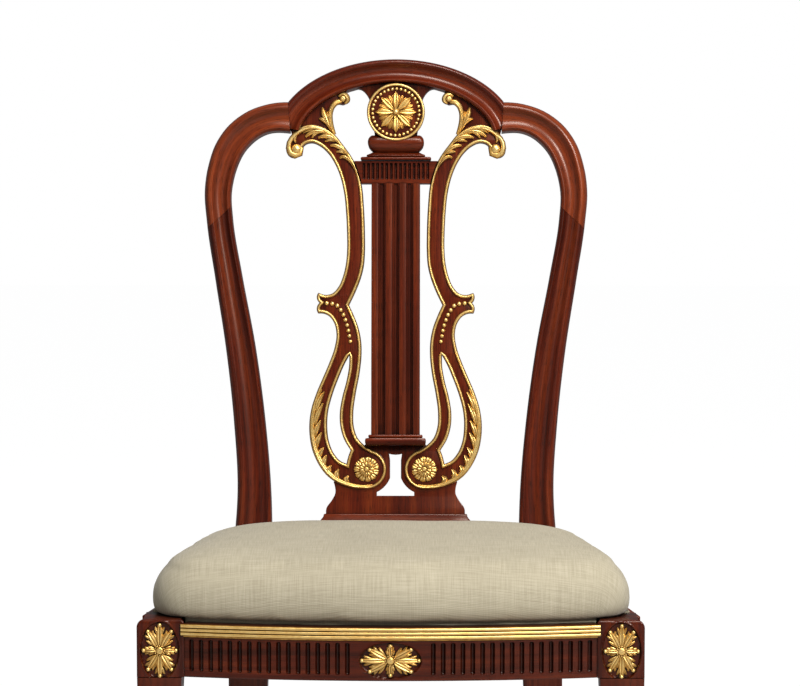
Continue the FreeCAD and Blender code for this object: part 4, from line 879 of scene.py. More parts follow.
def buildFrame():
    m = member
    marks = lengthMarks([((a[0] + b[0]) / 2, (a[1] + b[1]) / 2) for a, b in postStations])
    rows = [(*a, *b) for a, b in postStations]
    pairs = []
    for k in range(m["sideSteps"] + 1):
        a, b, c, d = hermite(rows, marks, marks[-1] * k / m["sideSteps"])
        pairs.append(((a, b), (c, d)))
    rings, grain = sweptMember(pairs)
    upper = addRings(newShape(), rings, grain=grain)
    archPairs = []
    for k in range(m["archSteps"] + 1):
        angle = math.radians(m["archHalfTurn"] * (2 * k / m["archSteps"] - 1))
        u, v = m["archSpan"] * math.sin(angle), m["top"] - m["archRise"] * (1 - math.cos(angle))
        inward = Vector((m["archRise"] * math.sin(angle), m["archSpan"] * math.cos(angle)))
        inward.normalize()
        archPairs.append(((u, v), (u - inward.x * m["archWidth"], v - inward.y * m["archWidth"])))
    rings, grain = sweptMember(archPairs, kind={"strip": 4.6, "hollow": 6.6, "bead": 1.6})
    arch = toMesh("crestArch", addRings(newShape(), rings, grain=grain))
    creaseAngle = 90 + m["creaseLean"]
    for side in (1, -1):
        arch = cutAt(arch, m["crease"], creaseAngle, side, "crestArch")
    putPiece("crestArch", arch, wood, slot="mahogany", replaces=("crest_arch",), angle=30)
    for side, word in ((1, "right"), (-1, "left")):
        mesh = toMesh("shoulder", upper if side == 1 else mirrored(upper))
        shoulder = cutAt(mesh, m["scarf"], m["scarfAngle"], side, "crestShoulder", -1)
        shoulder = cutAt(shoulder, m["crease"], creaseAngle, side, "crestShoulder", -1)
        putPiece(f"crestShoulder_{word}", shoulder, woodShoulderLit, slot="mahogany",
                 replaces=(f"crest_shoulder_{word}",), angle=30)
        buildPost(side, word, pairs)


rearLeg = {
    "inner": 152.5, "blockWidth": 52.0, "blockDepth": 36.0, "footWidth": 36.0, "footDepth": 34.0,
    "footOuter": 206.0, "sweep": 72.0, "front": 439.0, "blockLow": 361.6, "steps": 26,
    "planWidth": 44.0, "footEase": 1.2, "headEase": 1.5, "postStart": 3.0, "blend": 30.0,
    "firstShare": 0.55, "grainStart": 0.424,
}


def buildPost(side, word, pairs):
    # one timber from the floor: swept square leg, block at the seat, moulded post above
    m, leg = member, rearLeg
    outerTop = leg["inner"] + leg["blockWidth"]
    whole = leg["planWidth"]
    levels = [0, 1.5] + [leg["blockLow"] * k / leg["steps"] for k in range(1, leg["steps"] + 1)]
    rings, grain = [], []
    for z in levels + [380, 400, 419.5, 421.5]:
        drop = max(0.0, (leg["blockLow"] - z) / leg["blockLow"])
        outer = outerTop + drop * (leg["footOuter"] - outerTop)
        width = leg["blockWidth"] + drop * (leg["footWidth"] - leg["blockWidth"])
        front = leg["front"] + leg["sweep"] * drop ** 1.7
        depth = leg["blockDepth"] + drop * (leg["footDepth"] - leg["blockDepth"])
        shrink = leg["footEase"] if z == 0 else (leg["headEase"] if z > 420.5 else 0.0)
        ring = []
        for s, w in blockProfile(whole):
            x = outer - shrink - s / whole * (width - 2 * shrink)
            y = front + shrink + (m["front"] - w) / (m["front"] + m["back"]) * (depth - 2 * shrink)
            ring.append(onSeat(x, y, z))
        rings.append(ring)
        grain.append([(k * 0.004, z * mm) for k in range(len(ring))])
    kept = [pair for pair in pairs if pair[0][1] > leg["postStart"]]
    shares = [min(1.0, leg["firstShare"] + (pair[0][1] - leg["postStart"]) / leg["blend"])
              for pair in kept]
    more, grainUp = sweptMember(kept, shares)
    rings += more
    grain += [[(a, b + leg["grainStart"]) for a, b in row] for row in grainUp]
    shape = addRings(newShape(), rings, grain=grain)
    mesh = toMesh("post", shape if side == 1 else mirrored(shape))
    # the post ends at the slanting scarf; what the plane leaves of the far end is dropped too
    post = cutAt(mesh, m["scarf"], m["scarfAngle"], side, "rearPost")
    putPiece(f"rearPost_{word}", post, woodPostShaded, slot="mahogany", replaces=(f"rear_post_{word}",),
             angle=30)


buildFrame()
print("back frame swept")


# pierced arms of the lyre
arm = {"thick": 14.0, "ease": 0.9, "band": 4.0, "inset": 0.35, "rise": 2.9}
armUpper = [
    (132.2, 514.5), (126.6, 521.9), (118.1, 528.6), (105.8, 532.2), (92.2, 530.0), (77.4, 521.6),
    (65.1, 507.1), (54.0, 491.5), (46.6, 476.0), (41.8, 456.6), (39.5, 431.9), (38.0, 395.0),
    (38.0, 376.6), (39.4, 358.1), (42.6, 344.6), (48.4, 329.0), (57.3, 310.1),
]
armInner = [
    (57.3, 310.1), (51.2, 296.6), (45.6, 281.5), (42.3, 263.5), (42.1, 247.5), (44.3, 226.7),
    (49.1, 200.9), (52.0, 177.6), (51.2, 160.0), (46.6, 146.9), (38.6, 138.2), (28.8, 132.0),
]
armOuter = [
    (35.4, 83.8), (49.5, 84.6), (63.0, 88.0), (74.6, 93.4), (84.8, 101.6), (94.0, 114.0),
    (101.3, 129.7), (105.2, 148.1), (105.7, 165.3), (103.3, 182.4), (97.4, 201.1), (89.7, 219.5),
    (81.7, 238.3), (75.0, 257.3), (72.7, 274.5), (75.7, 288.0), (82.4, 296.8), (89.2, 299.7),
    (95.4, 299.9),
]
armRise = [
    (95.1, 324.9), (86.8, 322.4), (78.2, 324.0), (70.3, 332.3), (65.0, 344.6), (61.1, 361.8),
    (59.8, 379.0), (60.0, 398.7), (61.2, 423.3), (63.8, 448.4), (68.3, 467.6), (74.9, 483.9),
    (83.5, 497.2), (93.4, 506.0), (103.2, 509.8), (111.2, 507.9), (116.1, 502.7),
]
volute = (35.4, 108.4)
voluteReach = 24.6
slitRight = [
    (56.8, 248.7), (57.1, 235.2), (60.2, 217.0), (65.5, 196.4), (68.4, 177.6), (67.6, 160.4),
    (63.1, 145.1), (55.1, 131.6),
]
slitLeft = [
    (60.0, 115.1), (67.4, 118.4), (75.6, 127.5), (81.7, 142.0), (84.0, 160.4), (82.8, 180.0),
    (78.0, 198.9), (70.0, 220.9), (62.9, 237.5), (56.8, 248.7),
]
spandrelSide = [
    (58.2, 563.2), (64.6, 556.9), (70.8, 557.6), (76.3, 554.0), (79.4, 547.4), (79.4, 536.0),
    (75.4, 519.0),
]


def armLoop():
    loop = smoothRun(armUpper) + smoothRun(armInner)
    loop += arcRun(armInner[-1], (volute[0] - voluteReach, volute[1]), armOuter[0])
    loop += smoothRun(armOuter)
    loop += arcRun(armOuter[-1], (96.9, 306.5), (93.6, 312.6), 1.2)
    loop += arcRun((93.6, 312.6), (96.9, 318.7), armRise[0], 1.2)
    loop += smoothRun(armRise) + arcRun(armRise[-1], (125.6, 491.4), (134.8, 503.0), 1.2)
    return withoutRepeats(loop)


def slitLoop():
    return withoutRepeats(smoothRun(slitRight) + arcRun(slitRight[-1], (58.0, 123.6), slitLeft[0])
                          + smoothRun(slitLeft))


outline, slit = armLoop(), slitLoop()
armBoard = boardShape([outline, slit], -arm["thick"], 0.0, arm["ease"])
spandrelLoop = withoutRepeats(
    smoothRun(spandrelSide) + [(100.0, 518.0), (127.0, 516.0), (131.0, 530.0), (131.4, 540.0),
                               (118.0, 566.0), (92.0, 580.0), (66.0, 584.0), (60.0, 574.0)])
spandrel = boardShape([spandrelLoop], -arm["thick"] + 0.4, -0.5, arm["ease"])
bothSides("lyreArm", backShape(joined(armBoard, spandrel)), woodLyreShaded, "lyre_arm")
bands = joined(edgeBand(outline, arm["inset"], arm["band"], arm["rise"]),
               edgeBand(slit, arm["inset"], arm["band"], arm["rise"], inside=False))
bothSides("lyreFillet", backShape(bands), gilding, "lyre_fillet", slot="gilding", angle=60)

# carved leaves, each a spine from root to tip with half-widths along it
scrollLeaves = [
    # outer band of the C-scroll, from its knob round the bottom and over the top
    ([(121.8, 506.4), (117.6, 503.6), (117.0, 498.2), (121.6, 494.2), (127.2, 494.8),
      (131.2, 499.8), (131.8, 507.0), (129.0, 514.0), (123.6, 519.8), (116.0, 525.0),
      (106.6, 528.0), (96.0, 527.4), (86.6, 523.6), (78.0, 516.6)],
     [2.6, 3.8, 4.3, 4.4, 4.2, 3.8, 3.4, 3.2, 3.0, 3.0, 2.9, 2.7, 2.3, 1.4], 4.4, 0.10),
    # strip that lies inside the scroll
    ([(118.6, 523.6), (122.8, 518.4), (124.6, 513.4), (123.4, 509.4)],
     [0.8, 1.7, 2.1, 1.0], 3.2, 0.18),
    # four leaves under the upper edge, each a broad blade; the first two have two shorter lobes,
    # the third one and the last none
    ([(83.0, 520.4), (91.0, 523.2), (99.0, 523.2), (106.4, 520.6), (111.2, 516.8)],
     [0.9, 2.6, 3.5, 3.0, 1.5], 3.8, 0.32),
    ([(93.0, 523.4), (100.4, 519.6), (103.6, 515.2)], [1.2, 2.4, 1.2], 3.2, 0.25),
    ([(98.0, 524.8), (107.0, 524.6), (114.2, 521.6)], [1.2, 2.0, 0.9], 3.2, 0.25),
    ([(66.4, 505.6), (73.6, 512.4), (81.0, 516.6), (88.8, 517.6), (95.6, 515.8)],
     [0.9, 2.2, 3.4, 3.2, 1.4], 3.8, 0.32),
    ([(74.6, 511.6), (81.6, 512.8), (87.2, 511.2)], [1.2, 2.3, 1.2], 3.2, 0.25),
    ([(77.0, 516.4), (84.4, 520.4), (91.2, 521.6)], [1.0, 1.7, 0.9], 3.2, 0.25),
    ([(55.4, 489.4), (62.0, 497.8), (68.4, 503.4), (75.0, 506.2), (80.8, 506.0)],
     [0.9, 2.2, 3.2, 2.9, 1.3], 3.8, 0.32),
    ([(61.8, 495.6), (68.2, 498.6), (73.6, 498.4)], [1.2, 2.2, 1.1], 3.2, 0.25),
    ([(50.4, 476.8), (55.0, 485.0), (60.4, 490.8), (65.6, 492.6), (69.2, 490.6)],
     [0.8, 1.8, 2.6, 2.4, 1.5], 3.8, 0.32),
    # sprig under the arch: stem, curled knob and lobed spray
    ([(75.4, 519.6), (79.0, 529.0), (80.6, 538.0), (80.4, 547.3), (77.6, 555.0), (72.6, 559.8),
      (66.8, 560.6)], [2.0, 2.9, 3.0, 3.1, 3.4, 3.6, 2.6], 4.2, 0.22),
    ([(70.4, 566.8), (64.8, 569.6), (60.2, 566.6), (59.4, 561.4), (63.0, 557.8)],
     [2.2, 2.8, 3.0, 2.8, 1.6], 4.8, 0.1),
    ([(79.4, 524.6), (83.8, 533.0), (87.0, 540.6), (89.4, 547.4), (90.6, 553.0)],
     [1.4, 2.8, 3.9, 3.2, 0.8], 3.8, 0.36),
    ([(82.4, 530.4), (87.2, 536.0), (91.2, 538.6), (94.6, 539.2)], [1.2, 2.6, 2.3, 0.9], 3.4, 0.28),
    ([(82.6, 535.6), (84.2, 542.0), (84.6, 548.8)], [1.2, 2.3, 0.8], 3.4, 0.28),
]
crescentSpine = [
    (28.0, 88.6), (38.0, 87.4), (49.5, 88.0), (60.6, 90.8), (71.0, 95.4), (80.4, 102.4),
    (89.4, 113.8), (96.4, 128.0), (100.6, 143.0), (102.0, 156.0), (101.8, 168.0), (99.8, 181.0),
    (95.4, 195.0), (90.6, 206.6),
]
crescentHalf = [1.9, 2.2, 2.7, 3.1, 3.4, 3.7, 3.9, 3.8, 3.5, 3.2, 2.9, 2.6, 2.2, 1.2]
crescentTips = [
    ((98.2, 178.0), (94.4, 191.4), (87.6, 203.4)), ((99.6, 162.0), (95.4, 176.4), (88.8, 189.4)),
    ((99.2, 148.0), (96.6, 158.6), (91.4, 168.6)), ((97.6, 134.0), (95.4, 144.6), (90.6, 153.4)),
    ((94.0, 121.0), (92.4, 128.6), (88.0, 135.2)), ((88.4, 110.6), (87.8, 118.8), (84.4, 126.0)),
    ((81.0, 102.2), (81.8, 108.0), (79.0, 113.4)), ((70.4, 95.4), (72.4, 102.4), (69.4, 108.8)),
    ((58.0, 91.4), (60.4, 96.0), (57.2, 100.7)),
]
leafShapes = [blade(spine, halves, rise, 0.4, vein) for spine, halves, rise, vein in scrollLeaves]
leafShapes.append(dome(122.4, 501.6, 6.6, 5.2, 0.2))
leafShapes.append(dome(65.2, 563.8, 4.4, 5.4, 0.2, dimple=1.2))
leafShapes.append(blade(crescentSpine, crescentHalf, 3.6, 0.4, 0.22, steps=60))
for root, middle, tip in crescentTips:
    leafShapes.append(blade([root, middle, tip], [2.6, 4.0, 1.1], 3.9, 0.3, 0.34, across=10))
bothSides("lyreLeaf", backShape(joined(*leafShapes)), gilding, "lyre_leaf", slot="gilding",
          angle=50)

pearlPath = [(84.6, 312.0), (73.0, 310.0), (66.4, 302.0), (60.6, 288.5), (55.5, 265.1)]
pearls = rowOf(dome(0, 0, 2.9, 2.6), [(u, v, 0) for u, v in smoothRun(pearlPath)], 10, gilding,
               1.0, 0.85)
bothSides("lyrePearls", backShape(pearls), gilding, "lyre_pearls", slot="gilding", angle=60)


def rosetteShape():
    # two rings of notched petals round a small boss
    petals, centre = 11, 0.001
    notches = [blade([(9.0, 0.4 * side), (13.2, 2.2 * side), (15.0, 2.9 * side)], [1.6, 1.6, 0.5],
                     2.4, 0.2, 0.1, steps=6) for side in (1, -1)]
    petal = joined(blade([(4.0, 0.0), (9.0, 0.0), (13.0, 0.0), (15.4, 0.0)],
                         [1.2, 3.2, 4.0, 1.4], 2.7, 0.2, 0.45, steps=10), *notches)
    small = blade([(2.0, 0.0), (5.5, 0.0), (8.6, 0.0), (10.0, 0.0)], [1.0, 2.3, 2.6, 0.8], 2.6, 1.4,
                  0.4, steps=8)
    return joined(ringOf(petal, petals, centre, gilding),
                  ringOf(small, petals, centre, gilding, math.pi / petals),
                  dome(0, 0, 3.2, 2.2, 2.6, dimple=0.7))


bothSides("voluteRosette", backShape(movedShape(rosetteShape(), *volute)), gilding,
          "volute_rosette", slot="gilding", angle=50)
print("lyre arms and gilding made")


# roundel
roundel = {
    "height": 546.6, "radius": 35.4, "thick": 8.0, "edge": 0.6, "ringWide": 3.6, "ringHigh": 3.0,
    "ringPast": 0.2, "beads": 34, "beadRing": 28.7, "bead": 2.15, "beadHigh": 1.9, "petals": 8,
    "around": 96, "across": 12, "soft": 0.4,
}


def onRoundel(name, shape, finish, node, **rest):
    putShape(name, backShape(movedShape(shape, 0, roundel["height"])), finish, node, **rest)


def buildRoundel():
    r = roundel
    high, rim, edge = r["thick"], r["radius"], r["edge"]
    disc = lathed([(0.02, high), (rim - 4.6, high), (rim - 0.4, high), (rim, high - edge),
                   (rim, edge), (rim - edge, 0), (0.02, 0)])
    onRoundel("roundelDisc", disc, woodFrontShaded, "roundel_disc")
    turns = [math.pi * k / r["across"] for k in range(r["across"] + 1)]
    outer = rim + r["ringPast"]
    profile = [(outer - r["ringWide"] / 2 * (1 - math.cos(turn)),
                high + r["ringHigh"] * math.sin(turn)) for turn in turns]
    profile += [(outer - r["ringWide"], high - 0.5), (outer, high - 0.5)]
    rings = []
    for j in range(r["around"] + 1):
        turn = 2 * math.pi * j / r["around"]
        rings.append([Vector((p * math.cos(turn), p * math.sin(turn), w)) for p, w in profile])
    relief = [0.3 + 0.55 * math.sin(turn) for turn in turns] + [0.1, 0.1]
    band = addRings(newShape(), rings, caps=False, relief=[relief] * (r["around"] + 1))
    onRoundel("roundelRing", band, gilding, "roundel_ring", slot="gilding", angle=60)
    bead = dome(0, 0, r["bead"], r["beadHigh"], high, around=12, levels=4)
    beads = ringOf(bead, r["beads"], r["beadRing"], gilding, 0.06)
    onRoundel("roundelBeads", beads, gilding, "roundel_beads", slot="gilding", angle=60)
    longPetal = blade([(2.6, 0.0), (8.0, 0.0), (14.5, 0.0), (20.5, 0.0), (25.4, 0.0)],
                      [1.3, 3.2, 4.6, 3.6, 0.4], 3.6, high + 0.8, 0.5, steps=18, across=12,
                      veinWide=0.38)
    lobes = [blade([(13.0, 1.2 * side), (18.0, 3.4 * side), (21.0, 4.2 * side)], [1.2, 1.7, 0.9],
                   1.7, high, 0.1, steps=6) for side in (1, -1)]
    shortPetal = joined(blade([(8.0, 0.0), (13.0, 0.0), (18.0, 0.0), (22.0, 0.0)],
                              [1.4, 2.6, 3.4, 1.6], 1.9, high, 0.3, steps=10), *lobes)
    # the short petals get a lower relief, so the gilding colours them darker: painted shade between
    # the long petals
    shortPetal["relief"] = [r["soft"] * value for value in shortPetal["relief"]]
    flower = joined(ringOf(longPetal, r["petals"], 0.001, gilding),
                    ringOf(shortPetal, r["petals"], 0.001, gilding, math.pi / r["petals"]),
                    dome(0, 0, 3.7, 3.4, high + 3.2), dome(0, 0, 5.2, 2.6, high + 0.4))
    onRoundel("roundelFlower", flower, gilding, "roundel_flower", slot="gilding", angle=45)


buildRoundel()

# boards, column and its mouldings
tabletSide = [(50.5, 576.9), (42.0, 575.2), (36.9, 570.6), (32.6, 563.0), (30.0, 545.0)]
tabletLoop = bothHalves([(50.5, 586.0)] + smoothRun(tabletSide) + [(26.0, 519.0)])
putShape("crestTablet", backShape(boardShape([tabletLoop], -arm["thick"], 0.0)), woodFrontShaded,
         "crest_tablet")

baseSide = [(85.2, 50.0), (84.6, 60.5), (77.6, 71.0), (73.7, 79.0), (74.1, 87.0), (75.8, 93.0)]
baseLoop = bothHalves(smoothRun(baseSide) + [(62.0, 104.0), (50.0, 122.0), (37.0, 139.0)])
keyLoop = bothHalves([(0.0, 126.2), (4.5, 126.6), (7.9, 127.4), (6.7, 119.4)]
                     + arcRun((6.7, 98.0), (11.4, 89.6), (22.9, 80.5)) + [(22.9, 76.0)])
putShape("splatBase", backShape(boardShape([baseLoop, keyLoop], -arm["thick"], -0.6)), woodLyreShaded,
         "splat_base")


def stackedBlock(levels, corner=1.5):
    # a block moulded all round its front and ends: (v, half width, back w, front w) per level
    steps = 8
    rings, grain = [], []
    for v, halfWide, back, front in levels:
        c = min(corner, 0.3 * (front - back))
        ring = [(-halfWide, back), (-halfWide, front - c), (-halfWide + 0.3 * c, front - 0.3 * c),
                (-halfWide + c, front)]
        ring += [(-halfWide + c + (2 * halfWide - 2 * c) * k / steps, front)
                 for k in range(1, steps)]
        ring += [(halfWide - c, front), (halfWide - 0.3 * c, front - 0.3 * c),
                 (halfWide, front - c), (halfWide, back)]
        rings.append([Vector((u, v, w)) for u, w in ring])
        grain.append([(v * mm, (u + w) * mm) for u, w in ring])
    return addRings(newShape(), rings, grain=grain)


def roundedLevels(low, high, halfWide, back, front, swell, count=6):
    # levels of a rolled edge that swells by swell in the middle
    rows = []
    for k in range(count + 1):
        t = k / count
        out = swell * math.sin(math.pi * t) ** 0.5 if 0 < t < 1 else 0.0
        rows.append((low + (high - low) * t, halfWide + out, back, front + out))
    return rows


def putBlock(name, levels, node, corner=1.5, angle=40):
    putShape(name, backShape(stackedBlock(levels, corner)), woodLyreShaded, node, angle=angle)


putBlock("columnCap", roundedLevels(487.8, 491.6, 41.8, -12, 7.6, 1.5)
         + [(492.0, 37.2, -12, 5.2)] + roundedLevels(492.4, 494.6, 35.0, -12, 5.6, 0.9, 5)
         + [(495.4, 33.0, -12, 4.4), (496.6, 30.6, -12, 3.0), (497.5, 29.0, -12, 2.4)],
         "column_cap")
neckRows = [(497.4, 27.4, 3.0), (498.8, 28.6, 4.2), (501.0, 31.0, 6.2), (504.0, 33.2, 8.2),
            (508.0, 34.4, 9.6), (511.0, 34.5, 9.9), (514.0, 33.8, 9.0), (516.6, 32.2, 7.0),
            (518.4, 30.2, 4.4)]
putBlock("columnNeck", [(v, half, -12, front) for v, half, front in neckRows], "column_neck",
         corner=4.0, angle=50)
putBlock("columnBase", [(137.5, 35.6, -14, 12.0), (138.2, 36.6, -14, 13.2)]
         + roundedLevels(138.8, 146.2, 36.3, -14, 13.6, 0.9)
         + [(146.6, 34.2, -14, 11.8)] + roundedLevels(146.8, 150.7, 32.4, -14, 11.0, 0.8),
         "column_base")


def columnShape():
    # four ridges with rounded corners and three grooves stepped at their sides
    c = {"half": 29.8, "proud": 9.0, "back": -9.0, "bands": 7, "groove": 6.0, "step": 2.4,
         "ease": 1.1, "ledge": 0.24, "soft": 0.3, "sunk": 0.05, "low": 150.7, "middle": 300.0,
         "high": 459.0}
    e, soft, sunk = c["ease"], c["soft"], c["sunk"]
    band = 2 * c["half"] / c["bands"]
    inset = c["ledge"] * band
    top, floor = c["proud"], c["proud"] - c["groove"]
    shelf = floor + c["step"]
    row = [(-c["half"], c["back"])]
    for k in range(c["bands"]):
        left = -c["half"] + k * band
        right = left + band
        if k % 2 == 0:
            row += [(left, top - e), (left + 0.3 * e, top - 0.3 * e), (left + e, top),
                    (right - e, top), (right - 0.3 * e, top - 0.3 * e), (right, top - e)]
        else:
            row += [(left + sunk, shelf + soft), (left + soft, shelf),
                    (left + inset - soft, shelf), (left + inset, shelf - soft),
                    (left + inset, floor + soft), (left + inset + soft, floor),
                    (right - inset - soft, floor), (right - inset, floor + soft),
                    (right - inset, shelf - soft), (right - inset + soft, shelf),
                    (right - soft, shelf), (right - sunk, shelf + soft)]
    row.append((c["half"], c["back"]))
    levels = (c["low"], c["middle"], c["high"])
    rings = [[Vector((u, v, w)) for u, w in row] for v in levels]
    grain = [[((u + w) * mm, v * mm) for u, w in row] for v in levels]
    return addRings(newShape(), rings, grain=grain)


putShape("lyreColumn", backShape(columnShape()), woodLyreShaded, "lyre_column", angle=35)

shoeRows = [(-2.0, 98.0, -18, 8.5), (12.0, 98.0, -18, 8.5), (33.8, 98.0, -18, 8.5),
            (36.0, 97.6, -18, 8.3), (41.0, 95.0, -18, 6.6), (44.4, 92.6, -18, 5.0),
            (45.6, 92.2, -18, 4.7), (47.6, 90.4, -18, 4.0), (50.6, 88.2, -17.0, 2.9),
            (52.4, 87.9, -15.6, 2.5), (53.4, 87.6, -15.4, 2.2), (53.8, 87.0, -15.2, 1.6)]
putBlock("splatShoe", shoeRows, "splat_shoe")


# fluted faces
def reliefPanel(columns, rows, depthAt, place, backAt):
    # a slab whose front is carved by depthAt(x, z); place(x, depth, z) puts a point
    shape = newShape()
    wide, tall = len(columns), len(rows)
    for z in rows:
        for x in columns:
            shape["points"].append(place(x, depthAt(x, z), z))
            shape["grain"].append((z * mm, x * mm))
    for z in (rows[0], rows[-1]):
        for x in columns:
            shape["points"].append(place(x, backAt, z))
            shape["grain"].append((z * mm + 0.03, x * mm))
    shape["relief"] = [0.5] * len(shape["points"])
    for k in range(tall - 1):
        for j in range(wide - 1):
            a = k * wide + j
            shape["faces"].append((a, a + 1, a + wide + 1, a + wide))
    low, high = tall * wide, tall * wide + wide
    top = (tall - 1) * wide
    for j in range(wide - 1):
        shape["faces"].append((j, j + 1, low + j + 1, low + j))
        shape["faces"].append((top + j, top + j + 1, high + j + 1, high + j))
        shape["faces"].append((low + j, low + j + 1, high + j + 1, high + j))
    for j, a, b in ((0, low, high), (wide - 1, low + wide - 1, high + wide - 1)):
        shape["faces"].append(tuple([k * wide + j for k in range(tall)] + [b, a]))
    return shape


def fluteCuts(centres, halfFlute, shares):
    return {round(c + d * halfFlute, 3) for c in centres for d in shares}


def fluteRows(low, high, ends):
    # rows that gather at both ends of the flutes
    past = 0.02
    return ({round(low + e - past, 3) for e in ends} | {round(high - e + past, 3) for e in ends})


def evenSteps(start, pitch, count):
    return {round(start + k * pitch, 3) for k in range(count)}


def slotDepth(x, z, centre, halfWidth, low, high, depth):
    # a gouged flute with rounded ends
    if abs(x - centre) > halfWidth + 0.001:
        return 0.0
    end = max(0.0, low + halfWidth - z, z - (high - halfWidth))
    away = math.hypot(x - centre, end) / halfWidth
    return depth * math.sqrt(max(0.0, 1 - away ** 2.6)) if away < 1 else 0.0


def friezeShape():
    f = {"half": 53.6, "low": 459.0, "high": 486.8, "front": 5.0, "back": -12.0, "flutes": 15,
         "pitch": 5.6, "halfFlute": 1.7, "depth": 3.2, "sill": 5.0, "head": 2.4, "rim": 0.5,
         "gap": 0.3, "armSteps": 200}
    centres = [(k - (f["flutes"] - 1) / 2) * f["pitch"] for k in range(f["flutes"])]
    cuts = sorted(fluteCuts(centres, f["halfFlute"],
                            (-1.02, -0.9, -0.6, -0.25, 0.25, 0.6, 0.9, 1.02))
                  | {-f["half"], -f["half"] + 0.6, f["half"] - 0.6, f["half"]})
    low, high = f["low"] + f["sill"], f["high"] - f["head"]
    rows = sorted({f["low"], f["low"] + f["rim"], f["high"] - f["rim"], f["high"]}
                  | fluteRows(low, high, (0.0, 0.25, 0.6, 1.0, 1.4, 1.75, 2.2)))

    def depthAt(x, z):
        depth = max(slotDepth(x, z, c, f["halfFlute"], low, high, f["depth"]) for c in centres)
        rim = min(x + f["half"], f["half"] - x, z - f["low"], f["high"] - z)
        return f["front"] - depth - (f["rim"] if rim < 0.3 else 0.0)

    marks = lengthMarks(armUpper)
    inner = [hermite(armUpper, marks, marks[-1] * k / f["armSteps"])
             for k in range(f["armSteps"] + 1)]

    def between(x, v):
        # the frieze ends where the arms begin
        reach = min(inner, key=lambda p: abs(p[1] - v))[0] - f["gap"]
        return max(-reach, min(reach, x))

    panel = reliefPanel(cuts, rows, lambda x, z: depthAt(between(x, z), z),
                        lambda x, w, z: Vector((between(x, z), z, w)), f["back"])
    panel["grain"] = [(p[1] * mm, p[0] * mm) for p in panel["points"]]
    return panel


putShape("columnFrieze", backShape(friezeShape()), woodLyreShaded, "column_frieze", angle=40)

rail = {
    "half": 227.0, "bow": 22.0, "setBack": 2.0, "thick": 28.0, "low": 361.6, "high": 421.0,
    "flutes": 17, "first": 47.0, "last": 220.0, "halfFlute": 2.6, "depth": 4.0,
    "fluteLow": 368.2, "fluteHigh": 403.8, "ovalWide": 34.0, "ovalHigh": 20.0, "ovalZ": 384.0,
    "ovalDepth": 3.0, "ovalCut": 36.0, "ovalRise": 21.6, "pitch": 1.2, "lip": 0.5, "edge": 1.6,
    "edgeDepth": 0.8,
}
bowRadius = (rail["half"] ** 2 + rail["bow"] ** 2) / (2 * rail["bow"])
bowCentre = rail["setBack"] + math.sqrt(bowRadius ** 2 - rail["half"] ** 2)


def onBow(along, depth, z):
    # along is measured round the bow; depth goes forward of the rail's face
    turn = along / bowRadius
    r = bowRadius + depth
    return onSeat(r * math.sin(turn), bowCentre - r * math.cos(turn), z)


def frontRailShape():
    r = rail
    pitch = (r["last"] - r["first"]) / (r["flutes"] - 1)
    centres = [side * (r["first"] + k * pitch) for k in range(r["flutes"]) for side in (-1, 1)]
    reach = bowRadius * math.asin(r["half"] / bowRadius)
    cuts = fluteCuts(centres, r["halfFlute"],
                     (-1.02, -0.92, -0.7, -0.35, 0.0, 0.35, 0.7, 0.92, 1.02))
    cuts |= evenSteps(-r["ovalCut"], r["pitch"], 61) | {-reach, reach}
    rows = {r["low"], r["low"] + 0.7, r["low"] + r["edge"], r["high"] - 0.7, r["high"]}
    rows |= fluteRows(r["fluteLow"], r["fluteHigh"], (0.0, 0.2, 0.5, 0.9, 1.4, 1.9, 2.4))
    rows |= evenSteps(r["ovalZ"] - r["ovalRise"], r["pitch"], 37)
    rows = sorted(z for z in rows if r["low"] <= z <= r["high"])

    def depthAt(x, z):
        cut = 0.0
        for centre in [c for c in centres if abs(c - x) < 3][:1]:
            cut = slotDepth(x, z, centre, r["halfFlute"], r["fluteLow"], r["fluteHigh"],
                            r["depth"])
        away = math.hypot(x / r["ovalWide"], (z - r["ovalZ"]) / r["ovalHigh"])
        if away < 1.06:
            cut = max(cut, r["ovalDepth"] * min(1.0, max(0.0, (1.0 - away) / 0.035)))
            cut -= math.exp(-((away - 1.02) / 0.014) ** 2) * r["lip"]
        edge = z - r["low"]
        if edge < r["edge"]:
            cut += r["edgeDepth"] * (1 - edge / r["edge"]) ** 2
        return -cut

    return reliefPanel(sorted(cuts), rows, depthAt, onBow, -r["thick"])


putShape("frontRail", frontRailShape(), woodFrontShaded, "front_rail", angle=45)


def mouldingShape():
    # three half-round reeds over a small fillet, following the bow
    m = {"low": 406.6, "high": 421.0, "reeds": 3, "root": 2.4, "proud": 5.0, "half": 230.4,
         "fillet": 1.6, "gap": 0.12, "sunk": -0.5, "steps": 96, "turns": 8}
    low = m["low"] + m["fillet"]
    pitch = (m["high"] - m["low"] - m["fillet"]) / m["reeds"]
    row = [(m["sunk"], m["low"]), (1.3, m["low"]), (1.7, m["low"] + 0.4), (1.7, m["low"] + 1.4)]
    relief = [0.1, 0.3, 0.4, 0.2]
    for k in range(m["reeds"]):
        for j in range(m["turns"] + 1):
            turn = math.pi * j / m["turns"]
            row.append((m["root"] + (m["proud"] - m["root"]) * math.sin(turn) ** 0.8,
                        low + k * pitch + m["gap"]
                        + (pitch - 2 * m["gap"]) * (1 - math.cos(turn)) / 2))
            relief.append(0.12 + 0.75 * math.sin(turn))
    row.append((m["sunk"], m["high"]))
    relief.append(0.1)
    rings = []
    for k in range(m["steps"] + 1):
        x = m["half"] * (2 * k / m["steps"] - 1)
        rings.append([onSeat(x, bowCentre - math.sqrt((bowRadius + depth) ** 2 - x * x), z)
                      for depth, z in row])
    return addRings(newShape(), rings, relief=[relief] * len(rings))


putShape("frontMoulding", mouldingShape(), gilding, "front_rail_moulding", slot="gilding",
         angle=50)


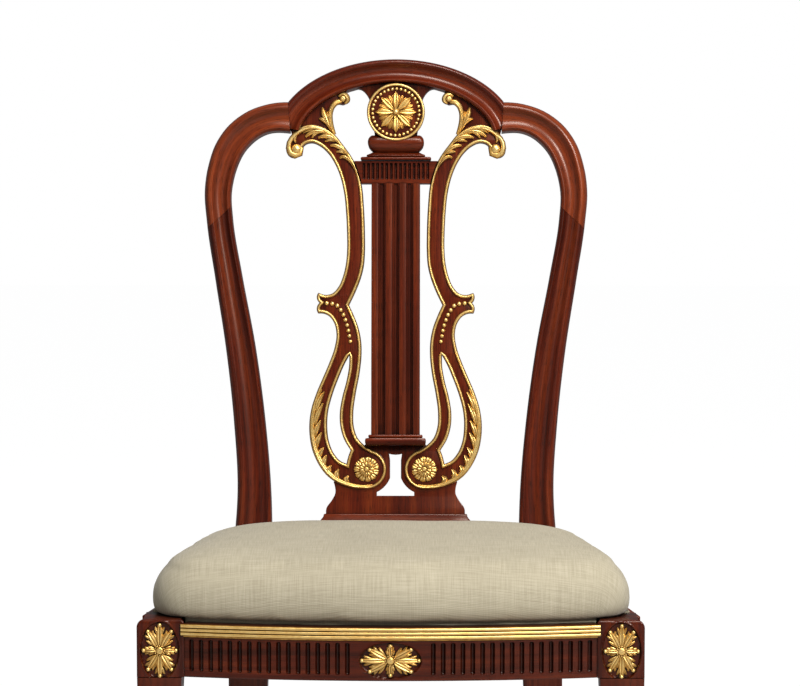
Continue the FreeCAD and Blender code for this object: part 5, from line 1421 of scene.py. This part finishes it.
def pateraShape(halfWide, halfHigh):
    # eight notched leaves with curled tips round a boss, longer one way than the other
    leaves = 8
    parts = []
    for k in range(leaves):
        angle = 2 * math.pi * k / leaves
        au, av = halfWide * math.sin(angle), halfHigh * math.cos(angle)
        if k % 2:
            au, av = au * 1.02, av * 1.06
        length = math.hypot(au, av)
        au, av = au / length, av / length
        broad = min(1.0, length / 26.0)

        def leaf(places, halves, *rest, **more):
            # places are (share of the length, distance to the side)
            spine = [(au * length * s + av * h, av * length * s - au * h) for s, h in places]
            return blade(spine, halves, *rest, **more)

        parts.append(leaf([(s, 0) for s in (0.08, 0.34, 0.62, 0.82, 0.96)],
                          [1.6, 4.0 * broad, 4.3 * broad, 3.2 * broad, 2.0], 4.2, vein=0.40,
                          across=10))
        for side in (-1, 1):
            parts.append(leaf([(0.26, side * 1.6), (0.50, side * 4.6 * broad),
                               (0.64, side * 6.6 * broad)], [1.5, 2.1, 1.2], 2.9, steps=8))
            parts.append(leaf([(0.56, side * 1.6), (0.76, side * 3.8 * broad),
                               (0.86, side * 5.0 * broad)], [1.3, 1.8, 1.1], 2.9, steps=8))
        parts.append(dome(au * length * 0.93, av * length * 0.93, 2.7, 3.6, around=14, levels=4))
    parts.append(dome(0, 0, 4.6, 3.2, 1.6, dimple=1.0))
    parts.append(ringOf(dome(0, 0, 0.9, 1.0, 2.4, around=8, levels=3), 12, 5.4, gilding))
    return joined(*parts)


def facing(shape, x, y, z):
    # from (across, up, forward) to a place on the front of the chair
    other = dict(shape)
    other["points"] = [onSeat(x + p[0], y - p[2], z + p[1]) for p in shape["points"]]
    return other


bowFront = bowCentre - bowRadius
railPatera = facing(pateraShape(33.6, 17.6), 0, bowFront + rail["ovalDepth"], rail["ovalZ"])
putShape("railPatera", railPatera, gilding, "rail_patera", slot="gilding", angle=50)
print("column, rails and roundel made")


# front legs
frontLeg = {
    "half": 279.0, "block": 52.0, "top": 425.5, "low": 361.6, "ease": 4.0, "shoulder": 9.0,
    "step": 2.7, "ankle": 30.0, "ankleInset": 4.0, "footSwell": 45.0, "footHigh": 56.4,
    "foot": 37.0, "sole": 30.0, "shaftPast": 57.0, "footSteps": 12, "shaftSteps": 20,
    "ovalWide": 21.5, "ovalHigh": 32.5, "ovalZ": 391.0, "ovalDepth": 3.0, "middle": 253.8,
    "edge": 1.6, "edgeDepth": 0.9, "lip": 0.75,
}


def squareRing(centreX, centreY, size, z, ease=1.8):
    h, e = size / 2, ease
    ring = []
    for a, b in ((-1, -1), (1, -1), (1, 1), (-1, 1)):
        first = (a * h, b * (h - e)) if a * b > 0 else (a * (h - e), b * h)
        last = (a * (h - e), b * h) if a * b > 0 else (a * h, b * (h - e))
        corner = (a * (h - 0.3 * e), b * (h - 0.3 * e))
        ring += [first, corner, last]
    return [onSeat(centreX + x, centreY + y, z) for x, y in ring]


def frontLegShape():
    f = frontLeg
    topSize = f["block"] - f["step"]
    ankleX, ankleY = f["half"] - f["ankleInset"] - f["ankle"] / 2, f["ankleInset"] + f["ankle"] / 2
    rings = [squareRing(ankleX, ankleY, f["sole"] - 2, 0, 1.5),
             squareRing(ankleX, ankleY, f["sole"], 1.5)]
    for k in range(1, f["footSteps"] + 1):
        t = k / f["footSteps"]
        size = f["sole"] + (f["foot"] - f["sole"]) * t ** 0.85
        rings.append(squareRing(ankleX, ankleY, size, f["footSwell"] * t))
    for size, z in ((f["foot"], 50.0), (f["foot"] - 1.2, 51.4), (f["ankle"] + 2.4, 54.6),
                    (f["ankle"], f["footHigh"])):
        rings.append(squareRing(ankleX, ankleY, size, z))
    for k in range(1, f["shaftSteps"] + 1):
        t = k / f["shaftSteps"]
        size = f["ankle"] + (topSize - f["ankle"]) * t
        x = ankleX + (f["half"] - topSize / 2 - ankleX) * t
        y = ankleY + (topSize / 2 - ankleY) * t
        rings.append(squareRing(x, y, size, f["footHigh"] + (f["low"] - f["shaftPast"]) * t))
    grain = [[(j * 0.012, ring[0].z) for j in range(12)] for ring in rings]
    shaft = addRings(newShape(), rings, grain=grain)
    # the block carries a sunk oval with a fine raised rim
    inner = f["half"] - f["block"]
    cuts = sorted({inner, inner + 0.6, inner + f["edge"], f["half"] - f["edge"],
                   f["half"] - 0.6, f["half"]} | evenSteps(inner + 1.8, 0.95, 51))
    rows = {f["low"], f["low"] + 0.4, f["top"] - 0.35, f["top"]}
    rows |= {round(f["top"] - f["ease"] * (1 - math.sin(math.radians(a))), 3)
             for a in (0, 15, 30, 45, 60, 75)}
    rows |= {round(f["top"] - f["shoulder"] * k / 8, 3) for k in range(1, 9)}
    rows |= evenSteps(f["ovalZ"] - 29.2, 1.1, 56)
    rows = sorted(z for z in rows if f["low"] <= z <= f["top"])

    def blockEase(z):
        above = z - (f["top"] - f["ease"])
        if above <= 0:
            return 0.35 if z < f["low"] + 0.2 else 0.0
        return f["ease"] * (1 - math.sqrt(max(0.0, 1 - (above / f["ease"]) ** 2))) * 0.8

    def depthAt(x, z):
        side = min(x - inner, f["half"] - x)
        cut = f["edgeDepth"] * (1 - side / f["edge"]) ** 2 if side < f["edge"] else 0.0
        away = math.hypot((x - f["middle"]) / f["ovalWide"], (z - f["ovalZ"]) / f["ovalHigh"])
        cut += f["ovalDepth"] * min(1.0, max(0.0, (1.0 - away) / 0.05))
        cut -= f["lip"] * math.exp(-((away - 1.035) / 0.03) ** 2)
        return cut + blockEase(z)

    def place(x, y, z):
        inset = blockEase(z)
        above = max(0.0, z - f["top"] + f["shoulder"]) / f["shoulder"]
        outer = f["shoulder"] * (1 - math.sqrt(max(0.0, 1 - above * above))) * 0.8
        share = (x - inner) / f["block"]
        x = inner + inset + share * (f["block"] - inset - outer)
        return onSeat(x, y if y < 40 else y - inset, z)

    block = reliefPanel(cuts, rows, depthAt, place, f["block"])
    block["grain"] = [(p.x + p.y, p.z) for p in block["points"]]
    return joined(shaft, block)


bothSides("frontLeg", frontLegShape(), woodFrontShaded, "front_leg", angle=35)
legPatera = facing(pateraShape(19.2, 30.4), frontLeg["middle"], frontLeg["ovalDepth"],
                   frontLeg["ovalZ"])
bothSides("legPatera", legPatera, gilding, "leg_patera", slot="gilding", angle=50)
print("front legs made")


# plain joinery: merged copies of the solids with eased edges
def mergedCopy(node):
    mergeWithin, flatWithin = 0.02 * mm, math.radians(1.0)
    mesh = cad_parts[node].data.copy()
    work = bmesh.new()
    work.from_mesh(mesh)
    bmesh.ops.remove_doubles(work, verts=work.verts, dist=mergeWithin)
    bmesh.ops.dissolve_limit(work, angle_limit=flatWithin, verts=work.verts, edges=work.edges)
    work.to_mesh(mesh)
    work.free()
    return mesh


sides = ("left", "right")
joinery = [(f"sideRail_{side}", f"side_rail_{side}", woodDeep, 0.8, "mahogany") for side in sides]
joinery += [("rearRail", "rear_rail", woodLong, 0.8, "mahogany"),
            ("rearLedge", "rear_seat_ledge", beech, 0.6, "beech")]
joinery += [(f"cornerBlock{end}_{side}", f"corner_block_{end.lower()}_{side}", beech, 0.8, "beech")
            for end in ("Front", "Rear") for side in sides]
joinery.append(("crestTongues", "crest_tongues", beech, 0.3, "beech"))
for name, node, finish, ease, slotName in joinery:
    putPiece(name, mergedCopy(node), finish, slot=slotName, replaces=(node,), bevel=ease)
for part in ("front", "back", "left", "right"):
    putPiece(f"seatBatten_{part}", mergedCopy(f"seat_batten_{part}"), beech, body="drop_in_seat",
             slot="beech", replaces=(f"seat_batten_{part}",), bevel=0.6)
print("joinery dressed")

# drop-in seat
seat = {
    "rest": 421.5, "top": 498.8, "front": 1.0, "side": 9.0, "back": 434.0, "corner": 52.0,
    "start": 1.0, "voxel": 0.006, "smoothings": 14, "pressure": 4.0, "stiff": 15, "bend": 1.5,
    "cap": 0.003, "frames": 20, "fallFrom": 215.0, "fall": 0.16, "fallSoft": 25.0, "rows": 36,
    "blockIn": 224, "blockBack": 57, "blockTop": 426.0, "webTop": 427.3, "webFront": 18,
    "webSide": 14.0, "webBack": 436, "padIn": 9.0, "padLow": 427.4, "coverThick": 0.6,
    "cornerFade": 320, "bowFade": 260,
}
# the outer line of the side rails runs from (x, y) at the front to (x, y) at the back
railFront, railBack = (277.0, 52.0), (202.5, 439.0)
sideSlope = (railFront[0] - railBack[0]) / (railBack[1] - railFront[1])
cushionSide = [(0.0, 2.6), (0.05, 1.0), (0.12, 0.2), (0.3, 0.0), (0.42, 0.8), (0.53, 2.8),
               (0.63, 6.2), (0.73, 12.0), (0.80, 19.0), (0.855, 28.0), (0.905, 42.0),
               (0.945, 60.0), (0.975, 84.0), (0.993, 114.0), (1.0, 160.0), (1.003, 205.0)]


def sideLine(y, inset):
    return (railFront[0] - sideSlope * (y - railFront[1])
            - inset * math.sqrt(1 + sideSlope * sideSlope))


def cushionPlan(inset):
    # the right half of the plan from the front middle to the back middle
    s = seat
    corner = s["corner"] * (1 - inset / s["cornerFade"])
    slope = math.atan(sideSlope)
    frontY = rail["setBack"] + s["front"] + inset
    backY = s["back"] - inset
    bow = rail["bow"] * max(0.1, 1 - inset / s["bowFade"])
    lean = 2 * math.atan(bow / rail["half"])
    y2 = frontY + corner * math.sin(lean)
    xCorner = sideLine(y2, s["side"] + inset)
    x1 = xCorner - corner * math.cos(lean)
    pull = corner * 0.29
    rear = corner * 0.62
    xBack = sideLine(backY, s["side"] + inset)
    sideStart = (xCorner - corner * math.sin(slope), y2 + corner * math.cos(slope))
    sideEnd = (xBack + rear * math.sin(slope), backY - rear * math.cos(slope))

    def shared(points, count):
        marks = lengthMarks(points)
        out = []
        for k in range(count):
            t = marks[-1] * k / count
            j = 0
            while marks[j + 1] < t:
                j += 1
            a = (t - marks[j]) / (marks[j + 1] - marks[j])
            out.append(tuple(p + a * (q - p) for p, q in zip(points[j], points[j + 1])))
        return out

    front = arcRun((-x1, frontY), (0.0, frontY - bow * x1 / rail["half"]), (x1, frontY), 4)
    frontCorner = (xCorner - pull * math.cos(lean), y2 + pull * 0.75)
    backCorner = (xBack - rear * 0.25, backY - rear * 0.29)
    run = shared(front[len(front) // 2:], 16)
    run += shared(arcRun((x1, frontY), frontCorner, sideStart, 3), 14)
    run += shared([sideStart, sideEnd], 20)
    run += shared(arcRun(sideEnd, backCorner, (xBack - rear, backY), 3), 10)
    run += shared([(xBack - rear, backY), (0.0, backY)], 12)
    run.append((0.0, backY))
    run[0] = (0.0, run[0][1])
    return run


def cushionShape(shrink):
    crown = seat["top"] - seat["rest"]
    rings = []
    marks = lengthMarks([(crown * share, inset) for share, inset in cushionSide])
    for k in range(seat["rows"] + 1):
        share, inset = hermite(cushionSide, marks, marks[-1] * k / seat["rows"])
        run = cushionPlan(max(0.0, inset) + shrink)
        run = run + [(-x, y) for x, y in run[-2:0:-1]]
        ring = []
        for x, y in run:
            past = max(0.0, y - seat["fallFrom"])
            fall = seat["fall"] * past * past / (past + seat["fallSoft"])
            height = share * (crown - fall) - (shrink if share > 0.6 else 0)
            ring.append(onSeat(x, y, seat["rest"] + max(0.3, height)))
        rings.append(ring)
    return addRings(newShape(), rings)


def clothMap(mesh):
    # lays the cloth out as if it were pulled over from the middle, in metres
    flatFrom, flatTo, flatIn = -0.208, 0.12, 58.0
    layer = mesh.uv_layers.new(name="cloth")
    top = seat["top"] * mm
    spots = []
    for vertex in mesh.vertices:
        x, y, z = vertex.co
        reachX = (sideLine((y - frontFace) / mm, seat["side"]) - flatIn) * mm
        cx = max(-reachX, min(reachX, x))
        cy = max(flatFrom, min(flatTo, y))
        away = Vector((x - cx, y - cy))
        flat = away.length
        reach = math.hypot(flat, top - z)
        if flat > 1e-6:
            away *= reach / flat
        spots.append((cx + away.x, cy + away.y))
    for loop in mesh.loops:
        layer.data[loop.index].uv = spots[loop.vertex_index]


def blownCushion(shape):
    # fills the cover as a soft pad: an even mesh, air pressure, then a cap on how far it swells
    scratch = helperObject("cushion", toMesh("cushion", shape))
    remesh = scratch.modifiers.new("even", "REMESH")
    remesh.mode = "VOXEL"
    remesh.voxel_size = seat["voxel"]
    even = plainMesh(scratch)
    work = bmesh.new()
    work.from_mesh(even)
    for _ in range(seat["smoothings"]):
        bmesh.ops.smooth_vert(work, verts=work.verts, factor=0.5, use_axis_x=True,
                              use_axis_y=True, use_axis_z=True)
    work.to_mesh(even)
    work.free()
    before = [(v.co.copy(), v.normal.copy()) for v in even.vertices]
    pad = helperObject("cushion", even)
    cloth = pad.modifiers.new("pad", "CLOTH")
    cloth.settings.use_pressure = True
    cloth.settings.uniform_pressure_force = seat["pressure"]
    cloth.settings.quality = 5
    cloth.settings.tension_stiffness = seat["stiff"]
    cloth.settings.compression_stiffness = seat["stiff"]
    cloth.settings.bending_stiffness = seat["bend"]
    cloth.settings.effector_weights.gravity = 0.0
    cloth.point_cache.frame_start = 1
    cloth.point_cache.frame_end = seat["frames"]
    stage = bpy.context.scene
    for frameNumber in range(1, seat["frames"] + 1):
        stage.frame_set(frameNumber)
    swollen = plainMesh(pad)
    after = [v.co.copy() for v in swollen.vertices]
    stage.frame_set(1)
    for vertex, (start, outwards), end in zip(swollen.vertices, before, after):
        swell = (end - start).dot(outwards)
        vertex.co = start + outwards * max(0.0, min(seat["cap"], swell))
    return swollen


def underside(x, y):
    # what the pad rests on: the leg blocks, the loose frame with its webbing, or the rails
    s = seat
    if abs(x) > s["blockIn"] and y < s["blockBack"]:
        return s["blockTop"]
    bowed = bowCentre - math.sqrt((bowRadius - s["webFront"]) ** 2 - x * x)
    if abs(x) < sideLine(y, s["webSide"]) and bowed < y < s["webBack"]:
        return s["webTop"]
    return s["rest"] + 0.3


def buildCushion():
    # hand-pulled cover: slow waves a fraction of a millimetre deep
    slow, quicker, share, still = (14.0, 0.9), (34.0, 0.35), 0.8, 6.2
    even = blownCushion(cushionShape(seat["start"]))
    for vertex in even.vertices:
        co = vertex.co
        bottom = underside(co.x / mm, (co.y - frontFace) / mm) * mm
        wave = sum(noise.noise(co * scale) * part for scale, part in (slow, quicker))
        if co.z > (seat["rest"] + still) * mm:
            co.z += wave * mm * share
        co.z = max(bottom, co.z)
        vertex.co = co
    holder = helperObject("cushion", even)
    finer = holder.modifiers.new("finer", "SUBSURF")
    finer.levels = finer.render_levels = 1
    mesh = plainMesh(holder)
    clothMap(mesh)
    return mesh


def frameRun(grow):
    # plan of the loose seat frame, notched round the front legs, as one closed loop
    f = {"notchX": 225.0, "notchY": 54.0, "sideIn": 13.0, "frontIn": 17.0, "back": 437.0,
         "steps": 12}
    notchX, notchY = f["notchX"] + grow, f["notchY"] - grow
    inset = f["sideIn"] - grow
    radius = bowRadius - f["frontIn"] + grow
    xs = [notchX * k / f["steps"] for k in range(f["steps"] + 1)]
    right = [(x, bowCentre - math.sqrt(radius ** 2 - x ** 2)) for x in xs]
    right += [(notchX, notchY), (sideLine(notchY, inset), notchY),
              (sideLine(f["back"] + grow, inset), f["back"] + grow)]
    return right + [(-x, y) for x, y in right[:0:-1]]


def buildSkirt():
    # the cover goes on down over the edge of the seat frame and turns under it
    outer, inner, under = frameRun(1.0), frameRun(0.05), frameRun(-14.0)
    rings = [[onSeat(x, y, z) for x, y in loop] for loop, z in (
        (inner, 426.9), (outer, 427.0), (outer, 424.0), (outer, 410.4), (inner, 409.1),
        (under, 408.9))]
    skirt = helperObject("skirt", toMesh("skirt", addRings(newShape(), rings, caps=False)))
    thick = skirt.modifiers.new("thick", "SOLIDIFY")
    thick.thickness = seat["coverThick"] * mm
    thick.offset = 0.0
    mesh = plainMesh(skirt)
    clothMap(mesh)
    return mesh


whole = bmesh.new()
for part in (buildCushion(), buildSkirt()):
    whole.from_mesh(part)
coverMesh = bpy.data.meshes.new("seatCover")
whole.to_mesh(coverMesh)
whole.free()
cover = putPiece("seatCover", coverMesh, linen, body="drop_in_seat", slot="seat_fabric",
                 replaces=("seat_cover",), angle=60)
print("cushion made, triangles", 2 * len(coverMesh.polygons))
padInside = cushionShape(seat["padIn"])
for point in padInside["points"]:
    point.z = max(point.z, seat["padLow"] * mm)
padPiece = putShape("seatPad", padInside, stuffing, "seat_pad", "stuffing", body="drop_in_seat")


def wovenStrips():
    # jute webbing, each strip passing over and under the ones that cross it
    w = {"strips": 4, "width": 50.0, "thick": 0.5, "pitch": 88.0, "front": 40.0, "back": 427.0,
         "first": 105.0, "middle": 424.95, "wave": 0.55, "steps": 60, "sideIn": 19.0}
    half = w["width"] / 2
    corners = ((-half, 0), (half, 0), (half, w["thick"]), (-half, w["thick"]))
    parts = []
    for k in range(w["strips"]):
        over = w["wave"] if k % 2 else -w["wave"]
        x, y = (k - 1.5) * w["pitch"], w["first"] + k * w["pitch"]
        reach = sideLine(y + half, w["sideIn"])
        lengthwise, crosswise = [], []
        for j in range(w["steps"] + 1):
            share = j / w["steps"]
            along = w["front"] + (w["back"] - w["front"]) * share
            across = reach * (2 * share - 1)
            z = w["middle"] + over * math.cos(math.pi * (along - w["first"]) / w["pitch"])
            lengthwise.append([onSeat(x + side, along, z - down) for side, down in corners])
            z = w["middle"] + over * math.cos(math.pi * (across / w["pitch"] + 1.5))
            crosswise.append([onSeat(across, y + side, z - down) for side, down in corners])
        parts += [addRings(newShape(), lengthwise), addRings(newShape(), crosswise)]
    return joined(*parts)


putShape("seatWebbing", wovenStrips(), webbing, "seat_webbing", "webbing", body="drop_in_seat",
         angle=60)


def flatSheet(name, grow, z, thickness, finish, node, slotName):
    loop = frameRun(grow)
    rings = [[onSeat(x, y, level) for x, y in loop] for level in (z, z + thickness)]
    sheet = putShape(name, addRings(newShape(), rings), finish, node, slotName,
                     body="drop_in_seat")
    area = abs(windArea(loop)) * 1e-6
    xs, ys = [p[0] for p in loop], [p[1] for p in loop]
    (max(xs) - min(xs)) * mm
    (max(ys) - min(ys)) * mm


flatSheet("seatHessian", -6.0, 426.3, 0.5, hessian, "seat_hessian", "hessian")
flatSheet("seatDustCover", -20.0, 408.2, 0.4, dustCloth, "seat_dust_cover", "dust_cloth")
tack = {"radius": 2.4, "high": 1.1, "count": 64, "inset": 24.0, "level": 408.1}
tackShape = dome(0, 0, tack["radius"], tack["high"], around=10, levels=3)
tackPath = [(x, y, 0) for x, y in frameRun(-tack["inset"])]
tacks = rowOf(tackShape, tackPath, tack["count"], steel, closed=True)
tacks["points"] = [onSeat(p.x, p.y, tack["level"] - p.z) for p in tacks["points"]]
putPiece("seatTacks", toMesh("seatTacks", tacks), steel, body="drop_in_seat", angle=60)
print("seat dressed")

# floor, light and camera
bpy.context.view_layer.update()


def blended(tree, share, first, second, output):
    # first, mixed with second by share, goes to the output
    blend = addNode(tree, "ShaderNodeMixShader", {0: share})
    tree.links.new(first.outputs[0], blend.inputs[1])
    tree.links.new(second.outputs[0], blend.inputs[2])
    tree.links.new(blend.outputs[0], tree.nodes[output].inputs["Surface"])


def cameraRay(tree):
    return addNode(tree, "ShaderNodeLightPath").outputs["Is Camera Ray"]


studio = {"floor": 9, "grey": (0.60, 0.60, 0.60, 1), "white": (1, 1, 1, 1), "glow": 1.16,
          "glowShare": 0.84, "sky": (0.95, 0.97, 1.0, 1), "skyStrength": 0.17}
wide = studio["floor"]
floorMesh = bpy.data.meshes.new("studioFloor")
floorMesh.from_pydata([(-wide, -wide, 0), (wide, -wide, 0), (wide, wide, 0), (-wide, wide, 0)],
                      [], [(0, 1, 2, 3)])
floorFinish, tree, shader = newFinish("studioPaper", Roughness=0.9, Specular_IOR_Level=0.1)
shader.inputs["Base Color"].default_value = studio["grey"]
glow = addNode(tree, "ShaderNodeEmission", {"Color": studio["white"],
                                            "Strength": studio["glow"]})
blended(tree, sums(tree, "MULTIPLY", cameraRay(tree), studio["glowShare"]), shader, glow,
        "Material Output")
floorMesh.materials.append(floorFinish)
floor = helperObject("studioFloor", floorMesh)

world = bpy.data.worlds.new("studio")
bpy.context.scene.world = world
world.use_nodes = True
tree = world.node_tree
sky = tree.nodes["Background"]
sky.inputs["Color"].default_value = studio["sky"]
sky.inputs["Strength"].default_value = studio["skyStrength"]
white = addNode(tree, "ShaderNodeBackground", {"Color": studio["white"], "Strength": 1.0})
blended(tree, cameraRay(tree), sky, white, "World Output")

lampAim = Vector((0, 0, 0.6))
lamps = {
    "keyLamp": ((2.0, -2.6, 2.6), 104.0, 0.8),
    "fillLamp": ((-2.6, -2.4, 1.6), 5.0, 1.6),
    "topLamp": ((0.4, -1.1, 3.0), 58.0, 0.9),
}
for name, (place, power, size) in lamps.items():
    light = bpy.data.lights.new(name, "AREA")
    light.energy = power
    light.shape = "SQUARE"
    light.size = size
    lamp = helperObject(name, light)
    lamp.location = place
    lamp.rotation_euler = (lampAim - Vector(place)).to_track_quat("-Z", "Y").to_euler()

lens = {"focal": 158.0, "sensor": 36.0, "place": (0.050, -4.06608, 1.120), "pitch": 5.84,
        "pan": 0.597}
camera = bpy.data.cameras.new("studioCamera")
camera.lens = lens["focal"]
camera.sensor_width = lens["sensor"]
viewer = helperObject("studioCamera", camera)
viewer.location = lens["place"]
viewer.rotation_euler = (math.radians(90 - lens["pitch"]), 0, math.radians(lens["pan"]))
bpy.context.scene.camera = viewer
bpy.context.scene.view_settings.view_transform = "Standard"

print("scene ready")
